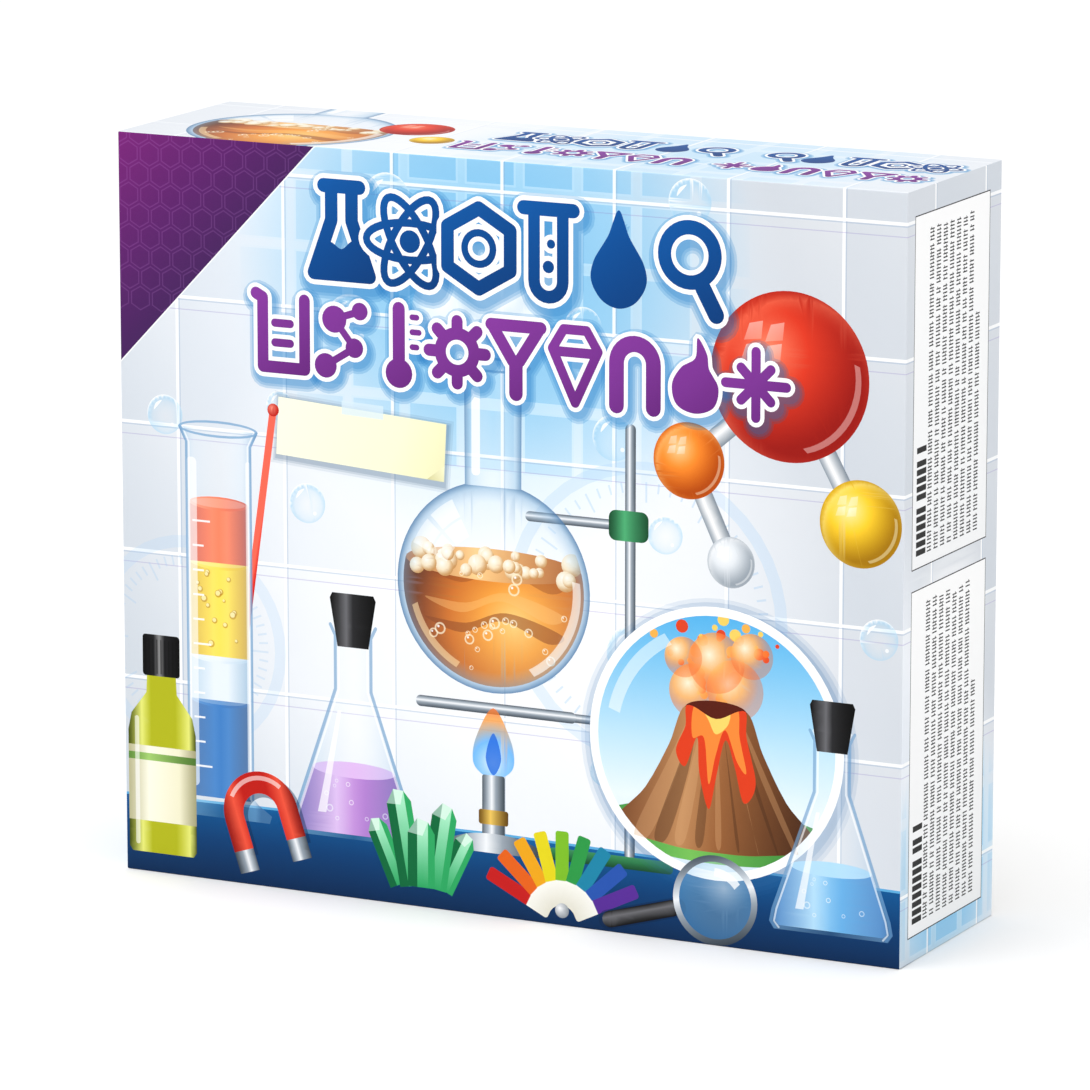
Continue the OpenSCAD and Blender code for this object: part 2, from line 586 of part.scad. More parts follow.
vent_rise = 1.2;                       // the vent's flange clears the curved wall by this
module at_vents() for (x = [-1, 1], y = [upper_edge(vent_u, 0), lower_edge(vent_u, 0)])
    translate([x*vent_u*goggles_w/2, y, goggles_depth/2]) rotate([-sign(y)*90, 0, 0]) children();
module goggle_lens() color([0.9, 0.96, 1, 0.5]) at_goggles()
    goggles_prism(goggles_wall + 0.1, goggles_depth - lens_t, goggles_depth);
// Four round vents plug the holes in the top and bottom of the frame.
module goggle_vents() color("lightskyblue") at_goggles() at_vents() difference() {
    union() {
        translate([0, 0, -goggles_wall - 2]) cylinder(h = goggles_wall + 2 + vent_rise + 0.5, r = vent_r);
        translate([0, 0, vent_rise]) cylinder(h = 1.4, r = vent_r + 1.3);
    }
    translate([0, 0, -goggles_wall - 3]) cylinder(h = goggles_wall + 3, r = vent_r - 1.3);
}
clip_x = goggles_w/2 + 0.1;
clip_l = 24;
// A clip stands on each side of the frame, with a slot that the strap goes through.
module strap_clips() color("lightsteelblue") at_goggles() for (s = [-1, 1])
    translate([s*(clip_x + clip_t/2), lug_y, goggles_depth/2]) difference() {
        cube([clip_t, strap_w + 6, clip_l], center = true);
        translate([0, 0, -clip_l/2 + 4]) cube([clip_t + 2, strap_w + 1, 4], center = true);
    }
strap_x = clip_x + clip_t;
// The strap runs from one clip, under the frame, to the other.
module goggle_strap() color("slategray") at_goggles() translate([0, lug_y - strap_w/2, 0]) difference() {
    translate([-strap_x - strap_t, 0, -strap_t])
        cube([2*strap_x + 2*strap_t, strap_w, goggles_depth/2 + strap_t]);
    translate([-strap_x, -1, 0]) cube([2*strap_x, strap_w + 2, goggles_depth]);
}

// ---------- hand tools ----------
heel_l = 8;
pivot_r = 1.5;
arm_offset = 3;                        // from the middle line to an arm's pivot
arm_l = tool_l - heel_l - 4;
arm_t = 2;
tip_in = arm_l*sin(tweezers_close) - arm_offset + loose_gap;
tip_t = 1.2;
bow_x = arm_l*0.42;
bow_in = (tip_in + arm_t)/2;
module at_tweezers() upright()
    translate([tweezers_org[0] + pocket_gap, tweezers_org[1] + tweezers_pocket[1]/2, tool_floor]) children();
module tweezers_heel() color("#202020") at_tweezers() difference() {
    translate([0, -arm_offset - 2.5, 0]) cube([heel_l + 0.6, 2*arm_offset + 5, tweezers_t + rest_gap]);
    for (s = [-1, 1]) {
        translate([heel_l, s*arm_offset, -1]) cylinder(h = tweezers_t + 3, r = pivot_r + 1.6*fit_gap);
        translate([heel_l, s*arm_offset - arm_t/2 - 0.4, -1]) cube([2, arm_t + 0.8, tweezers_t + 3]);
    }
}
// An arm bows outwards from its pivot in the heel and ends in a pointed tip.
module tweezers_arm(s) color("#202020") at_tweezers() translate([heel_l, s*arm_offset, rest_gap]) {
    cylinder(h = tweezers_t, r = pivot_r);
    linear_extrude(tweezers_t) polygon([
        [0, -s*arm_t/2], [3, -s*arm_t/2], [bow_x, s*bow_in], [arm_l, s*tip_in],
        [arm_l, s*(tip_in + tip_t)], [bow_x, s*(bow_in + arm_t)], [3, s*arm_t/2], [0, s*arm_t/2]]);
}
pipette_wall = 0.7;
module pipette() color([0.93, 0.95, 0.97, 0.8]) upright() translate([pipette_org[0] + pocket_gap,
        pipette_org[1] + pipette_pocket[1]/2, tool_floor + touch_gap + bulb_d/2]) along_x()
    rotate_extrude() polygon(concat([[0, 0]], arc(bulb_d/2 - 3, 3, 3, -90, 0, 5),
        [[bulb_d/2, 20], [2.8, 27], [2.8, 62], [1.9, 70], [1.2, tool_l - 2], [0.6, tool_l - 2], [1.2, 70],
         [2.8 - pipette_wall, 62], [2.8 - pipette_wall, 27.4], [bulb_d/2 - pipette_wall, 20],
         [bulb_d/2 - pipette_wall, 3], [0, pipette_wall]]));
straw_y = straws_org[1] + straws_pocket[1]/2;
straw_pitch = straw_d + 1;
spoon_l = tool_l - 8;
spoon_bowl_r = 6;
spoon_bowl_h = 4;
module stirring_straws() color("seagreen") upright() for (side = [-1, 1])
    translate([straws_org[0] + pocket_gap, straw_y + side*straw_pitch/2, tool_floor + touch_gap + straw_d/2])
        along_x() difference() {
            cylinder(h = tool_l - 2, r = straw_d/2);
            translate([0, 0, -1]) cylinder(h = tool_l, r = straw_d/2 - 0.5);
        }
// The spoon lies on the two straws.
module measuring_spoon() color("white") upright()
    translate([straws_org[0] + pocket_gap, straw_y, tool_floor + straw_d + 2*touch_gap]) {
        difference() {
            translate([spoon_l - spoon_bowl_r, 0, 0]) cylinder(h = spoon_bowl_h, r = spoon_bowl_r);
            translate([spoon_l - spoon_bowl_r, 0, 1]) cylinder(h = spoon_bowl_h, r = spoon_bowl_r - 1);
        }
        translate([0, -2, 0]) cube([spoon_l - 2*spoon_bowl_r + 0.5, 4, 1.6]);
    }
// A flat, empty balloon: a pear-shaped bag with a rolled mouth.
balloon_n = 48;
balloon_t = 2.4;
mouth_l = 4;
mouth_w = 10;
module balloon() color("#d8301c") upright()
    translate([balloon_org[0] + pocket_gap/2, balloon_org[1] + balloon_pocket[1]/2, shallow_floor]) {
        linear_extrude(balloon_t) polygon([for (i = [0:balloon_n - 1])
            let (a = 360*i/balloon_n, along = 0.5 + 0.5*cos(a),
                 swell = pow(1 - along, 0.12)*(0.42 + 0.58*pow(along, 0.7)))
            [(balloon_size[0] - mouth_l)*along, balloon_size[1]/2*sin(a)*swell]]);
        translate([0, -mouth_w/2, 0]) cube([mouth_l, mouth_w, balloon_t + 1]);
    }
module indicator_strips() color("khaki") upright()
    translate([strips_org[0] + pocket_gap/2, strips_org[1] + pocket_gap/2, shallow_floor])
        cube([strips_size[0], strips_size[1], 5]);

lid_shell();
base_shell();
tray();
booklet_cover();
booklet_pages();
booklet_staples();
goggle_frame();
goggle_lens();
goggle_vents();
goggle_strap();
strap_clips();
for (i = [0:tube_count - 1]) {
    test_tube(i);
    tube_liner(i);
    tube_cap(i);
}
flask();
flask_stopper();
beaker();
for (k = [0:jar_count - 1]) {
    jar(k);
    jar_powder(k);
    jar_liner(k);
    jar_cap(k);
}
rack_shelf(rack_top_y, rack_hole_r, rack_t + 1);  // rack_top_shelf
rack_shelf(rack_bottom_y, rack_dimple_r, 1);  // rack_bottom_shelf
rack_end(rack_x0);  // rack_end_left
rack_end(rack_x0 + rack_l - rack_t);  // rack_end_right
syringe_barrel();
syringe_plunger();
syringe_seal();
petri_dish();
petri_cover();
filter_papers();
tweezers_heel();
tweezers_arm(1);  // tweezers_arm_1
tweezers_arm(-1);  // tweezers_arm_2
pipette();
stirring_straws();
measuring_spoon();
balloon();
indicator_strips();
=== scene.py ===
"""The looks of the chemistry set case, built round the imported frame. +Z is up. The frame, its boxes and every
mesh are in metres. The print's outlines and the turned and swept profiles are in millimetres."""
import math
import random

import bmesh
import bpy
import numpy as np
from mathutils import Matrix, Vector
from mathutils.geometry import delaunay_2d_cdt


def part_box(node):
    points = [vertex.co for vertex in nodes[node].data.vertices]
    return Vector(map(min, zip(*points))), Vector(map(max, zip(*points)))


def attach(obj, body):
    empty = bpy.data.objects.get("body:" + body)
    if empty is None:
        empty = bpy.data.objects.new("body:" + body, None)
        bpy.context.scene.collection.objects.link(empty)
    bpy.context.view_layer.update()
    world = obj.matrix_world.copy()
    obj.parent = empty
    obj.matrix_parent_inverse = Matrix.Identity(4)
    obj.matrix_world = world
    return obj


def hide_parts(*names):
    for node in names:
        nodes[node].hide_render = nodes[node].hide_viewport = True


MM = 0.001
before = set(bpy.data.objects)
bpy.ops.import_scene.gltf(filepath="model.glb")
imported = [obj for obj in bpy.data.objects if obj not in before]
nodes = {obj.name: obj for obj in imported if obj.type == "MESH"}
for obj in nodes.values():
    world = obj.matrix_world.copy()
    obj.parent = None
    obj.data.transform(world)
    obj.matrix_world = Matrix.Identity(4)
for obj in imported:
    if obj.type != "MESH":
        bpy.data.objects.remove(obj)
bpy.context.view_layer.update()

# ---------------------------------------------------------------- outlines, in millimetres


def arc(cx, cy, r, start, end, steps, ry=None):
    """Points round part of a circle, or of an ellipse if ry is given. Degrees."""
    ry = r if ry is None else ry
    turns = [math.radians(start + (end - start) * i / steps) for i in range(steps + 1)]
    return [(cx + r * math.cos(a), cy + ry * math.sin(a)) for a in turns]


def polar(r, degrees):
    return (r * math.cos(math.radians(degrees)), r * math.sin(math.radians(degrees)))


def ring(cx, cy, r, ry=None, steps=40):
    return arc(cx, cy, r, 0, 360, steps, ry)[:-1]


def rect(x0, y0, x1, y1, r=0):
    """A rectangle, with round corners if r is given."""
    if not r:
        return [(x0, y0), (x1, y0), (x1, y1), (x0, y1)]
    corners = [(x1 - r, y1 - r, 0), (x0 + r, y1 - r, 90), (x0 + r, y0 + r, 180), (x1 - r, y0 + r, 270)]
    return [p for cx, cy, a in corners for p in arc(cx, cy, r, a, a + 90, 6)]


def spline(points):
    """A smooth closed curve through the points (Catmull-Rom)."""
    p = [np.array(q, float) for q in points]
    steps = 7
    out = []
    for i in range(len(p)):
        a, b, c, d = (p[(i + k) % len(p)] for k in (-1, 0, 1, 2))
        for t in np.arange(steps) / steps:
            out.append(tuple(0.5 * (2 * b + (c - a) * t + (2 * a - 5 * b + 4 * c - d) * t * t
                                    + (3 * b - a - 3 * c + d) * t ** 3)))
    return out


def turned(profile):
    """Both sides of a turned thing, from its (half width, height) points, lowest first."""
    return [*profile, *((-w, y) for w, y in reversed(profile))]


def stroke(points, width, round_ends=True):
    """The outline of a line of some width along the points."""
    p = np.array(points, float)
    d = np.gradient(p, axis=0)
    d /= np.linalg.norm(d, axis=1)[:, None]
    n = np.stack([-d[:, 1], d[:, 0]], 1) * width / 2
    left, right = [tuple(q) for q in p + n], [tuple(q) for q in p - n]
    if not round_ends:
        return right + left[::-1]
    out = []
    for side, centre, way in ((right, p[-1], d[-1]), (left[::-1], p[0], -d[0])):
        turn = math.degrees(math.atan2(way[1], way[0]))
        out += side + arc(*centre, width / 2, turn - 90, turn + 90, 8)[1:-1]
    return out


def strokes(lines, width):
    """Straight strokes along each polyline's segments."""
    return [stroke([a, b], width) for line in lines for a, b in zip(line, line[1:])]


def grown(outline, by):
    """A mostly round outline, moved outwards."""
    p = np.array(outline, float)
    d = np.roll(p, -1, 0) - np.roll(p, 1, 0)
    n = np.stack([d[:, 1], -d[:, 0]], 1) / np.linalg.norm(d, axis=1)[:, None]
    return [tuple(q) for q in p + n * by]


# ---------------------------------------------------------------- fills: (x, y) -> red, green, blue, alpha


def rgb(colour):
    return np.array([int(colour[i:i + 2], 16) / 255 for i in (0, 2, 4)])


def through(stops, t):
    """Colours at t from (place, "rrggbb", alpha) stops."""
    places = [s[0] for s in stops]
    rows = np.array([[*rgb(s[1]), s[2] if len(s) > 2 else 1.0] for s in stops])
    return np.stack([np.interp(t, places, rows[:, k]) for k in range(4)], -1)


class Flat:
    """One colour all over."""

    def __init__(self, colour, alpha=1.0):
        self.stops = [(0, colour, alpha)]

    def at(self, x, y):
        return through(self.stops, np.zeros_like(x))

    def guides(self, outline, scale):
        return [], []


class Along(Flat):
    """A gradient from p to q."""

    def __init__(self, p, q, *stops):
        self.start, self.run, self.stops = np.array(p, float), np.subtract(q, p).astype(float), stops

    def at(self, x, y):
        t = ((x - self.start[0]) * self.run[0] + (y - self.start[1]) * self.run[1]) / (self.run @ self.run)
        return through(self.stops, t)

    def guides(self, outline, scale):
        """The lines across the outline on which the gradient bends."""
        lines = []
        t = (outline - self.start) @ self.run / (self.run @ self.run)
        for stop in self.stops:
            a, b, ta, tb = outline, np.roll(outline, -1, 0), t - stop[0], np.roll(t, -1) - stop[0]
            cross = (ta > 0) != (tb > 0)
            hits = a[cross] + (b - a)[cross] * (ta / np.where(cross, ta - tb, 1))[cross][:, None]
            hits = hits[np.argsort(hits @ np.array([-self.run[1], self.run[0]]))]
            lines += [hits[i:i + 2] for i in range(0, len(hits) - 1, 2)
                      if np.linalg.norm(hits[i + 1] - hits[i]) > 0.02]
        return lines, []


class Around(Flat):
    """A gradient from c outwards, to r across and ry up."""

    def __init__(self, c, r, *stops, ry=None):
        self.centre, self.r, self.ry, self.stops = c, r, ry or r, stops

    def at(self, x, y):
        return through(self.stops, np.hypot((x - self.centre[0]) / self.r, (y - self.centre[1]) / self.ry))

    def guides(self, outline, scale):
        """Points in the outline, on the circles where the gradient bends and halfway between them."""
        spots = [self.centre]
        bends = [0] + [stop[0] for stop in self.stops if stop[0] > 0]
        for t in bends[1:] + [(a + b) / 2 for a, b in zip(bends, bends[1:])]:
            if self.r * t * scale > 0.5:
                spots += ring(*self.centre, self.r * t, self.ry * t,
                              round(min(64, max(8, 3 * self.r * t * scale))))
        spots = np.array(spots)
        return [], spots[covered(outline, spots) & apart(outline, spots, 0.35 / scale)]


flat, along, around = Flat, Along, Around


def sideways(x0, x1, *stops):
    """A gradient from x0 across to x1."""
    return along((x0, 0), (x1, 0), *stops)


def upwards(y0, y1, *stops):
    """A gradient from y0 to y1."""
    return along((0, y0), (0, y1), *stops)


# ---------------------------------------------------------------- a printed panel


def slimmed(outline, spare):
    """The outline without the points that lie nearly on a line with their neighbours."""
    p = np.asarray(outline, float)
    for _ in range(4):
        if len(p) < 6:
            break
        a, b = np.roll(p, 1, 0), np.roll(p, -1, 0)
        run = b - a
        off = np.abs(run[:, 0] * (p - a)[:, 1] - run[:, 1] * (p - a)[:, 0])
        off /= np.linalg.norm(run, axis=1) + 1e-9
        gone = (off < spare) & (np.arange(len(p)) % 2 == 1)
        if not gone.any():
            break
        p = np.roll(p[~gone], 1, 0)
    return p


def covered(outline, places):
    """Which of the places lie in the outline, by winding number."""
    x, y = places[:, :1], places[:, 1:]
    (x0, y0), (x1, y1) = outline.T, np.roll(outline, -1, 0).T
    side = (x1 - x0) * (y - y0) - (x - x0) * (y1 - y0)
    up, down = (y0 <= y) & (y1 > y) & (side > 0), (y1 <= y) & (y0 > y) & (side < 0)
    return up.sum(1) != down.sum(1)


def apart(outline, places, gap):
    """Which places lie further than gap from the outline itself."""
    side = np.roll(outline, -1, 0) - outline
    away = places[:, None] - outline
    t = np.clip((away * side).sum(-1) / np.maximum((side * side).sum(-1), 1e-12), 0, 1)
    return np.linalg.norm(away - t[..., None] * side, axis=-1).min(1) > gap


def grid(x0, x1, y0, y1, step):
    """Points step apart, column by column."""
    return [(x, y) for x in np.arange(x0, x1, step) for y in np.arange(y0, y1, step)]


PAPER_WHITE = 0.9     # how much light the bare paper gives back


class Print:
    """A printed panel: painted outlines that become one flat mesh, cut along every outline, with each
    corner's colour worked out from the paint that lies over it."""

    def __init__(self, name, width, height, grain):
        self.name, self.width, self.height = name, width, height
        self.outlines, self.lines, self.layers = [], [], []
        self.points = grid(grain / 2, width, grain / 2, height, grain)
        self.place()
        self.sheet = rect(0, 0, width, height)
        self.paint(self.sheet, flat("ffffff"))

    def place(self, x=0.0, y=0.0, scale=1.0, turn=0.0):
        """Where the next paint's own origin lies, its scale and its turn in degrees."""
        c, s = scale * math.cos(math.radians(turn)), scale * math.sin(math.radians(turn))
        self.axes, self.origin = np.array([[c, -s], [s, c]]), np.array([x, y], float)

    def put(self, outline):
        self.outlines.append(slimmed(np.array(outline, float) @ self.axes.T + self.origin, 0.05))
        return len(self.outlines) - 1

    def paint(self, outlines, fill, without=(), within=(), grain=0):
        """Paints what lies in any of the outlines, outside those of without and inside all those of within.
        grain is the step of the extra points that a tight gradient needs."""
        groups = []
        for given in (outlines, without, within):
            given = [given] if len(given) and np.ndim(given[0][0]) == 0 else given
            groups.append([self.put(o) for o in given])
        back, scale = np.linalg.inv(self.axes).T, math.sqrt(np.linalg.det(self.axes))
        for i in groups[0]:
            outline = self.outlines[i]
            lines, spots = fill.guides((outline - self.origin) @ back, scale)
            self.lines += [line @ self.axes.T + self.origin for line in lines]
            if len(spots):
                self.points += [tuple(q) for q in spots @ self.axes.T + self.origin]
            if grain:
                lo, hi = outline.min(0), outline.max(0)
                more = np.array(grid(lo[0], hi[0], lo[1], hi[1], grain))
                self.points += [tuple(q) for q in more[covered(outline, more) & apart(outline, more, 0.35)]]
        self.layers.append((groups, fill, self.axes, self.origin))

    def build(self, lines_x, lines_y):
        """Corner places and linear colours of every triangle. The panel is also cut along the lines."""
        verts = [Vector(p) for p in self.points if 0 < p[0] < self.width and 0 < p[1] < self.height]
        edges = []
        for outline in self.outlines:
            first, count = len(verts), len(outline)
            edges += [(first + i, first + (i + 1) % count) for i in range(count)]
            verts += [Vector(p) for p in outline]
        cuts = [((x, 0), (x, self.height)) for x in lines_x] + [((0, y), (self.width, y)) for y in lines_y]
        for ends in self.lines + cuts:
            edges.append((len(verts), len(verts) + 1))
            verts += [Vector(p) for p in ends]
        co, _, tris, _, _, _ = delaunay_2d_cdt(verts, edges, [], 0, 1e-4, False)
        place = np.array([tuple(v) for v in co])[np.array(tris)]
        middle = place.mean(1)
        kept = ((middle > 0) & (middle < (self.width, self.height))).all(1)
        place = place[kept][np.argsort(middle[kept][:, 0])]
        middle = place.mean(1)
        inside = []
        for outline in self.outlines:
            lo, hi = outline.min(0), outline.max(0)
            near = np.arange(*np.searchsorted(middle[:, 0], (lo[0], hi[0])))
            near = near[(middle[near, 1] > lo[1]) & (middle[near, 1] < hi[1])]
            inside.append(near[covered(outline, middle[near])])
        colour = np.ones((len(place), 3, 3))
        for (outlines, without, within), fill, axes, origin in self.layers:
            mask = np.zeros(len(place), bool)
            for i in outlines:
                mask[inside[i]] = True
            for i in without:
                mask[inside[i]] = False
            for i in within:
                only = np.zeros(len(place), bool)
                only[inside[i]] = True
                mask &= only
            mask = np.nonzero(mask)[0]
            local = (place[mask] - origin) @ np.linalg.inv(axes).T
            paint = fill.at(local[..., 0], local[..., 1])
            colour[mask] += (paint[..., :3] - colour[mask]) * paint[..., 3:]
        linear = np.where(colour <= 0.04045, colour / 12.92, ((colour + 0.055) / 1.055) ** 2.4)
        return place, PAPER_WHITE * linear


# ---------------------------------------------------------------- motifs of the print


def wall(p, w, h, glow, glow_r, seed):
    """Pale wall tiles with a sky-blue glow, a grid of blue squares in it, and light grout."""
    tile_w, tile_h = 48, 52
    columns = [i * tile_w - 22 for i in range(int(w / tile_w) + 2)]
    rows = [j * tile_h - 24 for j in range(int(h / tile_h) + 2)]
    p.place()
    for fill in (along((0, 0), (w, h * 0.3), (0, "cdd3da"), (0.35, "e9eef5"), (0.7, "f1f4f9"), (1, "d5d9df")),
                 around((w * 0.5, h * 0.42), w * 0.42, (0, "ffffff", 0.95), (0.6, "ffffff", 0.6),
                        (1, "ffffff", 0)),
                 around(glow, glow_r, (0, "6fc0ee", 0.85), (0.45, "93d0f2", 0.65), (1, "c3e2f6", 0))):
        p.paint(p.sheet, fill)
    pick = random.Random(seed)
    for x in columns:
        for y in rows:
            far, shade = (x + tile_w, y + tile_h), pick.uniform(0, 0.14)
            p.paint(rect(x, y, *far), along((x, y), far, (0, "9fb6cc", shade), (1, "ffffff", 0.22)))
    pitch_x, pitch_y, size_x, size_y = 25, 28, 22, 25
    fade = ((0, 0.72), (0.5, 0.5), (1, 0))
    for i in range(-5, 6):
        for j in range(-3, 3):
            x, y = glow[0] + i * pitch_x - size_x / 2, glow[1] + j * pitch_y
            for inset, colour, share in ((0, "bfe3fa", 0.7), (0.9, "3f9fdc", 0.55)):
                p.paint(rect(x + inset, y + inset, x + size_x - inset, y + size_y - inset),
                        around(glow, glow_r * 0.95, *[(t, colour, a * share) for t, a in fade]))
    for x in columns:
        p.paint(rect(x + 0.8, 0, x + 1.3, h), flat("8aa3c4", 0.35))
        p.paint(rect(x - 0.6, 0, x + 0.7, h), flat("ffffff", 0.85))
    for y in rows:
        p.paint(rect(0, y - 1.3, w, y - 0.8), flat("8aa3c4", 0.35))
        p.paint(rect(0, y - 0.7, w, y + 0.6), flat("ffffff", 0.85))
        p.paint(rect(0, y - 5.2, w, y - 4.8), flat("8d7fc0", 0.3))


def dial(p, x, y, r, alpha):
    """A faint round scale with ticks."""
    p.place(x, y)
    p.paint(ring(0, 0, r), flat("a9cdf0", alpha), without=ring(0, 0, r - 5))
    for i in range(60):
        reach = 8 if i % 5 == 0 else 4
        p.paint(stroke([polar(r - 8 - reach, 6 * i), polar(r - 8, 6 * i)], 0.8, False), flat("8fbce6", alpha))


def bubble(p, x, y, r):
    """A soap bubble with two lights."""
    tint = "9fd0ee"
    p.place(x, y, r)
    film = around((0.05, -0.1), 1.05, (0, "ffffff", 0.05), (0.72, tint, 0.18), (0.93, tint, 0.6),
                  (1, "ffffff", 0.85))
    p.paint(ring(0, 0, 1, steps=32), film, grain=0.34 * r)
    p.paint(spline([(-0.62, 0.2), (-0.5, 0.55), (-0.15, 0.72), (-0.4, 0.42)]), flat("ffffff", 0.85))
    p.paint(ring(0.42, -0.48, 0.1, steps=12), flat("ffffff", 0.7))


def ball(p, x, y, r, dark, mid, light):
    """A glossy ball with a window's reflection."""
    p.place(x, y, r)
    whole = ring(0, 0, 1, steps=72)
    rim = around((0.1, -0.1), 1.12, (0.72, mid, 0), (0.86, light, 0.28), (0.9, light, 0.42),
                 (0.98, dark, 0.3))
    p.paint(whole, around((-0.28, 0.3), 1.45, (0, light), (0.35, mid), (0.8, dark), (1, dark)),
            grain=0.09 * r)
    p.paint(whole, rim, grain=0.1 * r)
    for u in (0, 1):
        for v in (0, 1):
            x0, y0 = -0.62 + 0.27 * u, 0.14 + 0.25 * v
            pane = [(x0 + 0.04 * v, y0), (x0 + 0.23 + 0.03 * v, y0 + 0.03), (x0 + 0.25 + 0.03 * v, y0 + 0.24),
                    (x0 + 0.07 + 0.04 * v, y0 + 0.2)]
            p.paint(pane, along((x0, y0 + 0.3), (x0 + 0.1, y0), (0, "ffffff", 0.6), (1, "ffffff", 0.25)))
    crescent = arc(0, 0, 0.9, -75, 12, 14) + arc(-0.05, 0.03, 0.88, 12, -75, 14)
    p.paint(crescent, flat("ffffff", 0.4))


def glass_edge(p, profile, width=1.3):
    """The darker rim that clear glass shows along both sides of its profile, and a light line inside it."""
    for side in (-1, 1):
        p.paint(stroke([(side * (w - width / 2), y) for w, y in profile], width), flat("5f8fbe", 0.55))
        p.paint(stroke([(side * (w - width * 1.6), y) for w, y in profile], width * 0.6), flat("ffffff", 0.6))


def glass(p, outline, half, low, high):
    """Clear glass: dark at the sides, with two bright streaks."""
    walls = sideways(-half, half, (0, "5c86b0", 0.75), (0.07, "a9cbe6", 0.5), (0.2, "e3f1fb", 0.3),
                     (0.5, "ffffff", 0.1), (0.8, "d5e8f7", 0.32), (0.93, "94b9da", 0.55), (1, "4f7aa6", 0.8))
    p.paint(outline, walls, grain=half / 5)
    for x, w in ((-0.68, 0.13), (0.74, 0.06)):
        p.paint(rect(half * (x - w), low, half * (x + w), high, half * w * 0.9), flat("ffffff", 0.62))


def graduated_cylinder(p, x, y):
    """A measuring cylinder with coloured layers, a scale and a stirring rod."""
    half, top = 15, 158
    p.place(x, y)
    tip = (25, top + 10)
    rod = along((13, 91), (16, 90.4), (0, "ff6a55"), (0.5, "e3261c"), (1, "a3120d"))
    p.paint(stroke([(4, 24), tip], 3.2), rod)
    p.paint(ring(*tip, 2.6, steps=20), around((tip[0] - 0.6, tip[1] + 0.7), 3, (0, "ff9a85"), (1, "c01c14")))
    layers = [(8, 48, "0f3f86", "2f74c2", "0c2f66"), (48, 66, "a9c6dd", "e8f2fa", "8fb0cc"),
              (66, 104, "d99a06", "ffe24a", "c98304"), (104, 128, "c9301c", "ff7a52", "a01f12")]
    for low, high, left, mid, right in layers:
        shades = sideways(-half, half, (0, left), (0.4, mid), (0.62, mid), (1, right))
        p.paint(rect(-half + 1.6, low, half - 1.6, high), shades, grain=4)
        p.paint(ring(0, high, half - 1.6, 2.8), sideways(-half, half, (0, mid), (0.5, mid), (1, left)))
        p.paint(ring(0, high + 0.2, half - 3, 1.9), flat("ffffff", 0.22))
    pick = random.Random(3)
    for _ in range(16):
        bx, by, br = pick.uniform(-10, 10), pick.uniform(70, 100), pick.uniform(0.7, 1.7)
        p.paint(ring(bx, by, br, steps=14), flat("a86a00", 0.55))
        p.paint(ring(bx - 0.2, by + 0.2, br * 0.68, steps=12), flat("fff0a0", 0.9))
    outline = turned([(half + 7, 0), (half + 8, 3), (half + 2, 7), (half, 9), (half, top - 6),
                      (half + 3, top)])
    glass(p, outline, half + 3, 12, top - 12)
    glass_edge(p, [(half, 9), (half, top - 6), (half + 3, top)], 1.1)
    p.paint(ring(0, top, half + 3, 3.4), flat("7fa9cf", 0.8), without=ring(0, top, half + 1.6, 2.4))
    for i in range(11):
        tick_y, reach = 20 + 10 * i, 8 if i % 5 == 0 else 5
        p.paint(rect(-half + 3, tick_y, -half + 3 + reach, tick_y + 0.8), flat("ffffff", 0.9))


